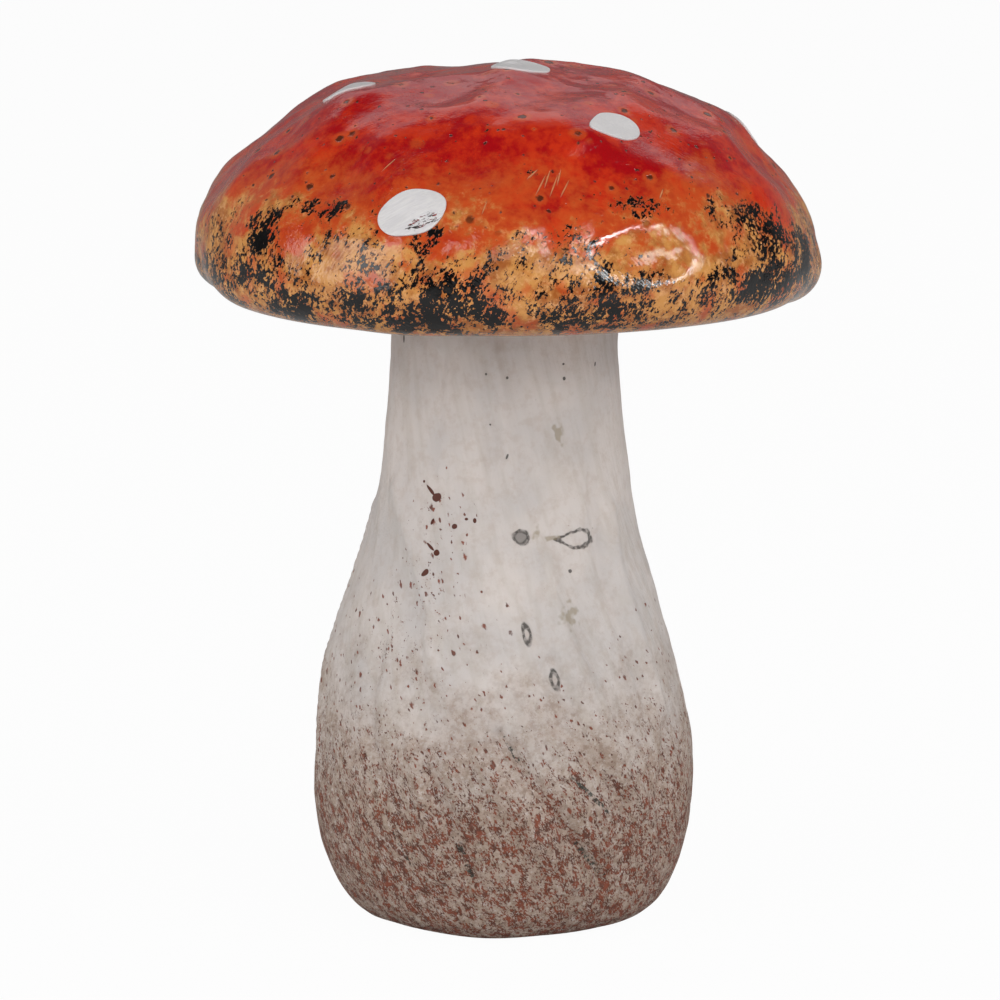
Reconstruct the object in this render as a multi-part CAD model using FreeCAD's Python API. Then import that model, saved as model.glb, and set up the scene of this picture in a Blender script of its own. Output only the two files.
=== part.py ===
"""Ceramic mushroom ornament, built as it is made: two hollow slip castings, bonded.

A glazed cap, cast as a closed bun with a round socket in its flat underside, sits on
a bellied stem. The stem's neck ends in a shoulder and a hollow spigot that stands in
the socket, and a ring of bonding cement fills the joint. The white spots are thick
dabs of enamel on the cap. The stem is open at its foot through a vent hole.

Millimetres, +Z up. The origin is the centre of the foot's resting plane, -Y is the
front and +X is the right-hand side seen from the front.
"""
import FreeCAD
import Part

import math
import os

# Whole ornament
overall_height = 178.0

# Cap, outside
cap_diameter = 130.0
cap_depth = 47.5            # flat underside up to the crown
rim_roll_width = 9.0        # widest ring in to the edge of the underside
rim_roll_height = 8.1       # underside up to the widest ring

# Cap, inside
cap_wall = 5.0

# Stem, outside
neck_diameter = 47.4
belly_diameter = 80.4
foot_diameter = 61.0

# Stem, inside
stem_wall = 5.0
floor_thickness = 6.0
foot_recess_diameter = 42.0
foot_recess_depth = 1.5
vent_diameter = 12.0

# Spigot, socket and cement
shoulder_width = 6.2        # neck's edge in to the spigot
spigot_wall = 4.6
spigot_reach = 4.0          # spigot's end above the cap's inner floor
spigot_bevel = 1.2
bond_gap = 0.8              # cement between spigot and socket, all round

# Enamel spots
spot_length = 13.6
spot_width = 10.6
spot_relief = 0.6           # top of a dab above the glaze
spot_root = 1.5             # blank below the glaze, before the glaze is cut away

# Cutters run past the face that they cut
cut_overrun = 10.0

# Worked out from the sizes above
cap_radius = cap_diameter / 2
belly_radius = belly_diameter / 2
neck_radius = neck_diameter / 2
underside_height = overall_height - cap_depth
widest_height = underside_height + rim_roll_height
dome_height = cap_depth - rim_roll_height
spigot_radius = neck_radius - shoulder_width
socket_radius = spigot_radius + bond_gap
cap_floor_height = underside_height + cap_wall
spigot_top = cap_floor_height + spigot_reach

# Outline of the dome from the crown's flat to the widest ring, as a smooth curve
# through these points: share of the cap's radius, then share of the dome's height.
dome_curve_shares = [
    (0.10, 1.000),
    (0.27, 0.984),
    (0.45, 0.940),
    (0.65, 0.818),
    (0.80, 0.612),
    (0.91, 0.425),
    (0.98, 0.203),
    (1.00, 0.000),
]
dome_bands = 10
roll_bands = 4

# Outline of the stem, as a smooth curve through these points. Below the belly, share
# of the stem's height and share of the way from the foot's radius to the belly's.
foot_curve_shares = [
    (0.000, 0.000),
    (0.030, 0.450),
    (0.100, 0.775),
    (0.215, 1.000),
]

# The same above the belly, with the share of the way from the neck's radius.
neck_curve_shares = [
    (0.350, 0.885),
    (0.500, 0.580),
    (0.600, 0.345),
    (0.700, 0.170),
    (0.800, 0.065),
    (0.920, 0.000),
]
stem_bands = 11

# Enamel spots: azimuth in degrees, share of the way down the cap's outline, share
# of the usual size, and turn of the long axis from level in degrees.
spot_shares = {
    "spot_crown": (292, 0.000, 0.95, 0),
    "spot_front_left": (252, 0.660, 1.00, 25),
    "spot_front_right": (300, 0.420, 0.90, -10),
    "spot_left": (198, 0.325, 0.95, 80),
    "spot_right": (2, 0.520, 0.95, 80),
    "spot_back_right": (52, 0.560, 1.00, 15),
    "spot_back": (98, 0.340, 0.90, -10),
    "spot_back_left": (148, 0.600, 1.00, 25),
}

# Rings of a dab: share of its length and width, then share of its relief.
dab_ring_shares = [
    (1.00, -0.10),
    (0.62, 1.00),
]

# Corners of a dab's outline, as shares of its half length and half width
dab_corner_shares = [1.00, 0.96, 1.05, 0.98, 1.04, 0.95, 1.03, 0.97]

hollow_sides = 16           # flats round the inside of a casting


def on_axis(height):
    """Point on the ornament's axis."""
    return FreeCAD.Vector(0, 0, height)


def turned_point(radius, azimuth, height):
    """Point at a radius and height, azimuth in degrees from +X towards +Y."""
    angle = math.radians(azimuth)
    return FreeCAD.Vector(radius * math.cos(angle), radius * math.sin(angle), height)


def azimuths(count):
    """Evenly spaced azimuths round the axis, in degrees."""
    return [360 * i / count for i in range(count)]


def disc(radius, low, high):
    """Upright cylinder on the axis, between two heights."""
    return Part.makeCylinder(radius, high - low, on_axis(low))


def curve_points(points, bands):
    """Points along the smooth curve through (radius, height) pairs, evenly spaced.

    The castings are turned from these points, so each band between two is a cone.
    """
    curve = Part.BSplineCurve()
    curve.interpolate([FreeCAD.Vector(radius, 0, height) for radius, height in points])
    return [(point.x, point.z) for point in curve.discretize(Number=bands + 1)]


def cap_outline():
    """Half outline of the cap as (radius, height) pairs, crown to underside.

    The dome follows its curve, and the rim rolls in by a quarter of an ellipse.
    """
    dome = [
        (radius_share * cap_radius, widest_height + height_share * dome_height)
        for radius_share, height_share in dome_curve_shares
    ]
    outline = curve_points(dome, dome_bands)
    for i in range(1, roll_bands + 1):
        angle = math.pi / 2 * i / roll_bands
        outline.append((
            cap_radius - rim_roll_width * (1 - math.cos(angle)),
            widest_height - rim_roll_height * math.sin(angle),
        ))
    return outline


def stem_outline():
    """Half outline of the stem as (radius, height) pairs, foot to shoulder."""
    points = []
    for end_radius, table in (
            (foot_diameter / 2, foot_curve_shares), (neck_radius, neck_curve_shares)):
        for height_share, radius_share in table:
            radius = end_radius + (belly_radius - end_radius) * radius_share
            points.append((radius, underside_height * height_share))
    outline = curve_points(points, stem_bands)
    outline.append((neck_radius, underside_height))
    return outline


def outward(outline, index):
    """Unit normal (radius, height) of the cap's outline at one of its points."""
    before = outline[max(index - 1, 0)]
    after = outline[min(index + 1, len(outline) - 1)]
    run, drop = after[0] - before[0], after[1] - before[1]
    length = math.hypot(run, drop)
    return -drop / length, run / length


def place_along(outline, share):
    """Point and unit normal of the cap's outline at a share of its whole length."""
    steps = [math.dist(before, after) for before, after in zip(outline, outline[1:])]
    target = share * sum(steps)
    index = 0
    while target > steps[index]:
        target -= steps[index]
        index += 1
    (r0, z0), (r1, z1) = outline[index], outline[index + 1]
    part = target / steps[index]
    place = r0 + (r1 - r0) * part, z0 + (z1 - z0) * part
    return place, ((z0 - z1) / steps[index], (r1 - r0) / steps[index])


def polygon(points):
    """Wire of straight edges through points, closed."""
    return Part.makePolygon(points + points[:1])


def faceted_body(rings):
    """Solid with flat faces through rings of as many corners each."""
    faces = [Part.Face(polygon(rings[0])), Part.Face(polygon(rings[-1]))]
    for low, high in zip(rings, rings[1:]):
        for i in range(len(low)):
            faces.append(Part.Face(polygon([low[i - 1], low[i], high[i], high[i - 1]])))
    shell = Part.makeShell(faces)
    shell.sewShape()
    body = Part.makeSolid(shell)
    if body.Volume < 0:
        body.reverse()
    return body


def faceted_hollow(outline):
    """Many-sided core of a casting, inside an outline of (radius, height) pairs."""
    return faceted_body([
        [turned_point(radius, azimuth, height) for azimuth in azimuths(hollow_sides)]
        for radius, height in outline
    ])


def turned_body(outline):
    """Solid of revolution inside a closed outline of (radius, height) pairs."""
    section = polygon([FreeCAD.Vector(radius, 0, height) for radius, height in outline])
    return Part.Face(section).revolve(on_axis(0), on_axis(1), 360)


def cap_blank():
    """Cap as cast, before it is hollow: dome, rolled rim and flat underside."""
    return turned_body([(0.0, overall_height)] + cap_outline() + [(0.0, underside_height)])


def cap_shell(blank):
    """Hollow cap with the socket through its floor."""
    outline = cap_outline()
    core = []
    for i in range(0, len(outline), 2):
        out_r, out_z = outward(outline, i)
        radius, height = outline[i][0] - out_r * cap_wall, outline[i][1] - out_z * cap_wall
        if height > cap_floor_height + cap_wall:
            core.append((radius, height))
    core.append((cap_radius - cap_wall, cap_floor_height + cap_wall))
    core.append((cap_radius - cap_wall - rim_roll_width, cap_floor_height))
    socket = disc(socket_radius, underside_height - cut_overrun, cap_floor_height + cut_overrun)
    return blank.cut(faceted_hollow(core)).cut(socket)


def stem_blank():
    """Stem as cast, before it is hollow, up to its shoulder."""
    outline = stem_outline()
    return turned_body([(0.0, 0.0)] + outline + [(0.0, underside_height)])


def stem_shell():
    """Hollow stem with its spigot, foot ring and vent hole."""
    roof_height = underside_height - stem_wall
    throat_radius = spigot_radius - spigot_wall
    core = [
        (radius - stem_wall, height) for radius, height in stem_outline()[1::2]
        if floor_thickness + stem_wall < height < roof_height - stem_wall
    ]
    core.insert(0, (foot_diameter / 2 - stem_wall, floor_thickness))
    core.append((neck_radius - stem_wall, roof_height - stem_wall))
    core.append((throat_radius, roof_height))
    spigot = disc(spigot_radius, roof_height, spigot_top)
    rim = [edge for edge in spigot.Edges if edge.isClosed() and edge.CenterOfMass.z > underside_height]
    shell = stem_blank().fuse(spigot.makeChamfer(spigot_bevel, rim))
    for cutter in (
            faceted_hollow(core),
            disc(throat_radius, roof_height - stem_wall, spigot_top + cut_overrun),
            disc(foot_recess_diameter / 2, -cut_overrun, foot_recess_depth),
            disc(vent_diameter / 2, -cut_overrun, floor_thickness + cut_overrun)):
        shell = shell.cut(cutter)
    return shell


def bond_ring():
    """Sleeve of cement that fills the gap between spigot and socket."""
    return turned_body([
        (spigot_radius, underside_height),
        (socket_radius, underside_height),
        (socket_radius, cap_floor_height),
        (spigot_radius, cap_floor_height),
    ])


def enamel_spot(blank, azimuth, share, size_share, turn):
    """Dab of enamel on the cap's glaze, domed outside and cut to the glaze inside."""
    (radius, height), (out_r, out_z) = place_along(cap_outline(), share)
    centre = turned_point(radius, azimuth, height)
    normal = turned_point(out_r, azimuth, out_z)
    level = on_axis(1).cross(normal).normalize()
    across = normal.cross(level)
    rings = [(1, -spot_root)]
    rings += [(ring_share, relief_share * spot_relief) for ring_share, relief_share in dab_ring_shares]
    outlines = []
    for ring_share, rise in rings:
        corners = []
        for corner_share, angle in zip(dab_corner_shares, azimuths(len(dab_corner_shares))):
            scale = size_share * ring_share * corner_share / 2
            x = spot_length * scale * math.cos(math.radians(angle))
            y = spot_width * scale * math.sin(math.radians(angle))
            c, s = math.cos(math.radians(turn)), math.sin(math.radians(turn))
            corners.append(centre + level * (x * c - y * s) + across * (x * s + y * c) + normal * rise)
        outlines.append(corners)
    return faceted_body(outlines).cut(blank)


os.makedirs("parts", exist_ok=True)
cap_casting = cap_blank()
pieces = {
    "cap_shell": cap_shell(cap_casting),
    "stem_shell": stem_shell(),
    "bond_ring": bond_ring(),
}
for name, shares in spot_shares.items():
    pieces[name] = enamel_spot(cap_casting, *shares)
for name, piece in pieces.items():
    print(name, piece.isValid(), len(piece.Solids), round(piece.Volume), "mm3")
    piece.exportStep(f"parts/{name}.step")
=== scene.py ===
"""Ceramic mushroom ornament: a lumpy glazed cap, a slip-washed stem and dabs of enamel.

Metres, +Z up. The origin is the centre of the foot's resting plane, -Y is the front
and +X is the right-hand side seen from the front. Azimuths are in degrees, from +X
towards +Y, so the middle of the front is at 270.
"""

import logging
import math
from dataclasses import dataclass, field
from enum import Enum

import bmesh
import bpy
from mathutils import Euler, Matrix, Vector
from mathutils.kdtree import KDTree


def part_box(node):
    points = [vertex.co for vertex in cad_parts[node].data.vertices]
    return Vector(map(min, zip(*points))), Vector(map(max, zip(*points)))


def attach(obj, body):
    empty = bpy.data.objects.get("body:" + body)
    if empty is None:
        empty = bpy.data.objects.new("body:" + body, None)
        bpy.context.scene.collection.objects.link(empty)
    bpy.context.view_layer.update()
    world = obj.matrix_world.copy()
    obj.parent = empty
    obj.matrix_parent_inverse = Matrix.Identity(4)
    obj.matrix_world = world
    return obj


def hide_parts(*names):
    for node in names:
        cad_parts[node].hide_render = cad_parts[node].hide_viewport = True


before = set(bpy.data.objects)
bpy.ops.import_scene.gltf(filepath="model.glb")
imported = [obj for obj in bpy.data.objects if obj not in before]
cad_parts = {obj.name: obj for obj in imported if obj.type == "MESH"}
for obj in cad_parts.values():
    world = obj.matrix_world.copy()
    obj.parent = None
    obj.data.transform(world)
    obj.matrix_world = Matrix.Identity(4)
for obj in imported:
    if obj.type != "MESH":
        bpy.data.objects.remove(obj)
LOG = logging.getLogger("mushroom")
BODY = "root"
MM = 0.001
FRONT = 270

Colour = tuple[float, float, float, float]
Pair = tuple[float, float]
Object = bpy.types.Object
Material = bpy.types.Material
Node = bpy.types.Node
Socket = bpy.types.NodeSocket
Tree = bpy.types.NodeTree


def paint(red: int, green: int, blue: int) -> Colour:
    """Turns a colour as a painter reads it, 0 to 255, into the shader's linear one.

    Args:
        red: Red, 0 to 255.
        green: Green, 0 to 255.
        blue: Blue, 0 to 255.

    Returns:
        The linear colour with full alpha.
    """
    def linear(value: int) -> float:
        """The standard screen curve, undone for one channel, 0 to 255."""
        share = value / 255
        return share / 12.92 if share <= 0.04045 else ((share + 0.055) / 1.055) ** 2.4

    return linear(red), linear(green), linear(blue), 1.0


@dataclass(frozen=True)
class Press:
    """A place where a thumb or a tool moved the clay.

    Args:
        azimuth: Azimuth of the place, in degrees.
        share: Share of the way along the outline.
        reach: How far round it the clay follows, in millimetres.
        rise: Outward move of the clay, in millimetres.
    """

    azimuth: float
    share: float
    reach: float
    rise: float


@dataclass(frozen=True)
class Stroke:
    """A line that a tool drew in the clay, through (azimuth, height) places.

    Args:
        places: Azimuth in degrees and height in millimetres of each turn of the line.
        reach: How far beside it the clay follows, in millimetres.
        rise: Outward move of the clay, in millimetres.
    """

    places: tuple[Pair, ...]
    reach: float
    rise: float


@dataclass(frozen=True)
class Lean:
    """A pull on one side of a casting that sags as a whole.

    Args:
        azimuth: Azimuth of the place that is pulled, in degrees.
        share: Share of the way along the outline.
        reach: How far round it the clay follows, in millimetres.
        drop: Downward move of the clay, in millimetres.
    """

    azimuth: float
    share: float
    reach: float
    drop: float


@dataclass
class Outline:
    """Half outline of a turned casting, as (radius, height) pairs in metres.

    Args:
        points: The pairs, from one end to the other.
    """

    points: list[Pair]
    steps: list[float] = field(init=False)

    def __post_init__(self) -> None:
        """Works out the length of each step from one pair to the next."""
        self.steps = [math.dist(a, b) for a, b in zip(self.points, self.points[1:])]

    def along(self, share: float) -> Pair:
        """Radius and height at a share of the outline's length.

        Args:
            share: Share of the way from the first point to the last.

        Returns:
            The (radius, height) pair in metres.
        """
        target = share * sum(self.steps)
        for step, (r0, z0), (r1, z1) in zip(self.steps, self.points, self.points[1:]):
            if target <= step:
                return r0 + (r1 - r0) * target / step, z0 + (z1 - z0) * target / step
            target -= step
        return self.points[-1]

    def level(self, height: float) -> Pair:
        """Radius and height where a rising outline passes a height.

        Args:
            height: The height in metres.

        Returns:
            The (radius, height) pair in metres; the last one above the outline.
        """
        for (r0, z0), (r1, z1) in zip(self.points, self.points[1:]):
            if z0 <= height <= z1:
                return r0 + (r1 - r0) * (height - z0) / (z1 - z0), height
        return self.points[-1]

    def evened(self, spacing: float) -> list[Pair]:
        """The outline again, in even steps of about a spacing in metres."""
        count = round(sum(self.steps) / spacing)
        return [self.along(i / count) for i in range(count + 1)]


def around(azimuth: float, place: Pair) -> Vector:
    """Point at an azimuth in degrees and a (radius, height) pair in metres."""
    angle = math.radians(azimuth)
    return Vector((place[0] * math.cos(angle), place[0] * math.sin(angle), place[1]))


def smoothed(points: list[Pair], steps: int) -> list[Pair]:
    """Smooth curve through (radius, height) pairs, each stretch in a number of steps.

    Args:
        points: The pairs that the curve passes.
        steps: Steps from one pair to the next.

    Returns:
        The pairs along the curve, both ends included.
    """
    curve = []
    for i in range(len(points) - 1):
        p0, p1 = Vector(points[max(i - 1, 0)]), Vector(points[i])
        p2, p3 = Vector(points[i + 1]), Vector(points[min(i + 2, len(points) - 1)])
        for k in range(steps):
            t = k / steps
            bend = (2 * p0 - 5 * p1 + 4 * p2 - p3) * t + (3 * p1 - p0 - 3 * p2 + p3) * t * t
            curve.append(tuple(p1 + ((p2 - p0) + bend) * t / 2))
    return curve + [points[-1]]


def single_out(piece: Object) -> None:
    """Makes a piece the active one and the only one selected.

    Args:
        piece: The piece.
    """
    bpy.ops.object.select_all(action="DESELECT")
    piece.select_set(True)
    bpy.context.view_layer.objects.active = piece


class Element(Enum):
    """Kinds of element that edit mode picks."""

    VERTEX = "VERT"
    EDGE = "EDGE"
    FACE = "FACE"


@dataclass
class EditMode:
    """Puts one piece alone in edit mode for the lines under it.

    Args:
        piece: The piece.
        kind: Kind of element that is picked.
    """

    piece: Object
    kind: Element = Element.VERTEX

    def __enter__(self) -> None:
        """Goes into edit mode, with nothing picked."""
        single_out(self.piece)
        bpy.ops.object.mode_set(mode="EDIT")
        bpy.ops.mesh.select_mode(type=self.kind.value)
        bpy.ops.mesh.select_all(action="DESELECT")

    def __exit__(self, *details: object) -> None:
        """Goes back to object mode."""
        bpy.ops.object.mode_set(mode="OBJECT")


def pick(piece: Object, indices: set[int]) -> None:
    """Selects vertices of a piece in edit mode.

    Args:
        piece: The piece.
        indices: Indices of the vertices.
    """
    mesh = bmesh.from_edit_mesh(piece.data)
    mesh.verts.ensure_lookup_table()
    for index in indices:
        mesh.verts[index].select = True
    mesh.select_flush_mode()
    bmesh.update_edit_mesh(piece.data)


def pick_ring(piece: Object, radius: float, height: float) -> None:
    """Selects an open ring of edges of a piece in edit mode.

    Args:
        piece: The piece.
        radius: Radius of the ring, in metres.
        height: Height of the ring, in metres.
    """
    mesh = bmesh.from_edit_mesh(piece.data)
    for edge in mesh.edges:
        if edge.is_boundary:
            middle = (edge.verts[0].co + edge.verts[1].co) / 2
            near = abs(middle.z - height) < MM / 2 and abs(middle.xy.length - radius) < MM
            edge.select_set(near)
    bmesh.update_edit_mesh(piece.data)


def pull_rings(start: Pair, rings: list[Pair]) -> None:
    """Extrudes the selected ring of edges to each ring in turn, in edit mode.

    Args:
        start: Radius and height of the ring that is selected, in metres.
        rings: Radius and height of each ring to make, in metres.
    """
    radius, height = start
    for next_radius, next_height in rings:
        bpy.ops.mesh.extrude_region_move(
            TRANSFORM_OT_translate={"value": (0, 0, next_height - height)})
        size = next_radius / radius
        bpy.ops.transform.resize(value=(size, size, 1), center_override=(0, 0, next_height))
        radius, height = next_radius, next_height


def extend(piece: Object, start: Pair, rings: list[Pair], closed: bool = False) -> None:
    """Extends a skin from an open ring of edges, one ring after another.

    Args:
        piece: The skin.
        start: Radius and height of the open ring, in metres.
        rings: Radius and height of each ring to make, in metres.
        closed: Whether the last ring is then drawn together to a point.
    """
    with EditMode(piece, Element.EDGE):
        pick_ring(piece, *start)
        pull_rings(start, rings)
        if closed:
            bpy.ops.mesh.extrude_region_move()
            bpy.ops.mesh.merge(type="CENTER")


def turned_skin(name: str, rings: list[Pair], segments: int) -> Object:
    """Raises an open skin from a circle, one ring after another.

    Args:
        name: Name of the piece.
        rings: Radius and height of each ring, in metres.
        segments: Corners of each ring.

    Returns:
        The piece, with its object at the origin.
    """
    bpy.ops.object.select_all(action="DESELECT")
    bpy.ops.mesh.primitive_circle_add(
        vertices=segments, radius=rings[0][0], location=(0, 0, rings[0][1]))
    piece = bpy.context.object
    piece.name = name
    bpy.ops.object.transform_apply(location=True, rotation=True, scale=True)
    with EditMode(piece, Element.EDGE):
        bpy.ops.mesh.select_all(action="SELECT")
        pull_rings(rings[0], rings[1:])
    return piece


def face_outwards(piece: Object) -> None:
    """Merges doubles and turns every face of a piece outwards.

    Args:
        piece: The piece.
    """
    with EditMode(piece):
        bpy.ops.mesh.select_all(action="SELECT")
        bpy.ops.mesh.remove_doubles(threshold=MM / 1000)
        bpy.ops.mesh.normals_make_consistent(inside=False)


def work_clay(piece: Object, places: list[Vector], reach: float, rise: float) -> None:
    """Moves the clay in or out round places on a skin.

    Args:
        piece: The skin.
        places: Points on or near the skin, in metres.
        reach: How far round them the clay follows, in millimetres.
        rise: Outward move, in millimetres.
    """
    tree = KDTree(len(piece.data.vertices))
    for vertex in piece.data.vertices:
        tree.insert(vertex.co, vertex.index)
    tree.balance()
    found = {tree.find(place)[1] for place in places}
    with EditMode(piece):
        pick(piece, found)
        bpy.ops.transform.shrink_fatten(
            value=rise * MM, use_proportional_edit=True,
            proportional_edit_falloff="SMOOTH", proportional_size=reach * MM)


def press_clay(piece: Object, outline: Outline, presses: tuple[Press, ...]) -> None:
    """Moves the clay of a skin at each of its presses.

    Args:
        piece: The skin.
        outline: Outline that the presses are measured along.
        presses: The presses.
    """
    for press in presses:
        place = around(press.azimuth, outline.along(press.share))
        work_clay(piece, [place], press.reach, press.rise)


def drag(piece: Object, index: int, way: Vector, reach: float) -> None:
    """Drags one vertex of a piece, and what lies round it with it.

    Args:
        piece: The piece.
        index: Index of the vertex.
        way: The move, in metres.
        reach: How far round it the rest follows, in millimetres.
    """
    with EditMode(piece):
        pick(piece, {index})
        bpy.ops.transform.translate(
            value=way, use_proportional_edit=True,
            proportional_edit_falloff="SMOOTH", proportional_size=reach * MM)


def finish_with(piece: Object, kind: str, **settings: object) -> None:
    """Adds a modifier to a piece and applies it.

    Args:
        piece: The piece.
        kind: Blender's name of the modifier.
        settings: Values of the modifier.
    """
    single_out(piece)
    modifier = piece.modifiers.new(kind.lower(), kind)
    for name, value in settings.items():
        setattr(modifier, name, value)
    bpy.ops.object.modifier_apply(modifier=modifier.name)


def refine(piece: Object, levels: int) -> None:
    """Rounds a piece by subdivision, at the same level in view and render."""
    finish_with(piece, "SUBSURF", levels=levels, render_levels=levels)


def roughen(piece: Object, name: str, grain: float, rise: float, group: str) -> None:
    """Gives a skin the unevenness of clay that was patted by hand.

    Args:
        piece: The skin.
        name: Name of the unevenness.
        grain: Size of its lumps, in millimetres.
        rise: Height from hollow to lump, in millimetres.
        group: Vertex group that says where it works.
    """
    texture = bpy.data.textures.new(name, "CLOUDS")
    texture.noise_scale = grain * MM
    texture.noise_depth = 1
    finish_with(piece, "DISPLACE", texture=texture, texture_coords="LOCAL",
                strength=rise * MM, mid_level=0.5, vertex_group=group)


def dent(piece: Object, name: str, size: float, rise: float, softening: int, group: str
         ) -> None:
    """Dents a skin all over with thumbs, and softens the ridges between the dents.

    Args:
        piece: The skin.
        name: Name of the dents.
        size: Spacing of the dents, in millimetres.
        rise: Height from dent to ridge, in millimetres.
        softening: Passes that soften the ridges.
        group: Vertex group that says where it works.
    """
    texture = bpy.data.textures.new(name, "VORONOI")
    texture.noise_scale = size * MM
    texture.distance_metric = "DISTANCE_SQUARED"
    finish_with(piece, "DISPLACE", texture=texture, texture_coords="LOCAL",
                strength=rise * MM, mid_level=0.25, vertex_group=group)
    finish_with(piece, "SMOOTH", factor=0.5, iterations=softening, vertex_group=group)


def weigh(piece: Object, name: str, low: Pair, high: Pair = (1.0, 2.0)) -> None:
    """Makes a vertex group that fades in above one height and out below another.

    Args:
        piece: The skin.
        name: Name of the group.
        low: Heights in metres between which the weight rises from 0 to 1.
        high: Heights in metres between which it falls back to 0; left out, above the piece.
    """
    group = piece.vertex_groups.new(name=name)
    for vertex in piece.data.vertices:
        rising = (vertex.co.z - low[0]) / (low[1] - low[0])
        falling = (high[1] - vertex.co.z) / (high[1] - high[0])
        group.add([vertex.index], min(max(min(rising, falling), 0), 1), "REPLACE")


def calm(piece: Object, name: str, place: Vector, reach: float) -> None:
    """Takes the weight out of a vertex group round a place.

    Args:
        piece: The skin.
        name: Name of the group.
        place: The place, in metres.
        reach: How far round it the weight falls, in millimetres.
    """
    group = piece.vertex_groups[name]
    for vertex in piece.data.vertices:
        distance = (vertex.co - place).length / (reach * MM)
        if distance < 1:
            group.add([vertex.index], group.weight(vertex.index) * distance ** 3, "REPLACE")


def smooth_shaded(piece: Object, angle: float) -> None:
    """Shades a piece smoothly, apart from edges sharper than an angle in degrees."""
    single_out(piece)
    bpy.ops.object.shade_smooth_by_angle(angle=math.radians(angle))


def settle(piece: Object, finish: Material, node: str) -> None:
    """Gives a piece its finish and its place in the assembly, and reports it.

    Args:
        piece: The finished piece.
        finish: Its material.
        node: The CAD node that it stands for.
    """
    piece.data.materials.clear()
    piece.data.materials.append(finish)
    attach(piece, BODY)
    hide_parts(node)
    LOG.info("%s stands for %s, %d faces", piece.name, node, len(piece.data.polygons))


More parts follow.
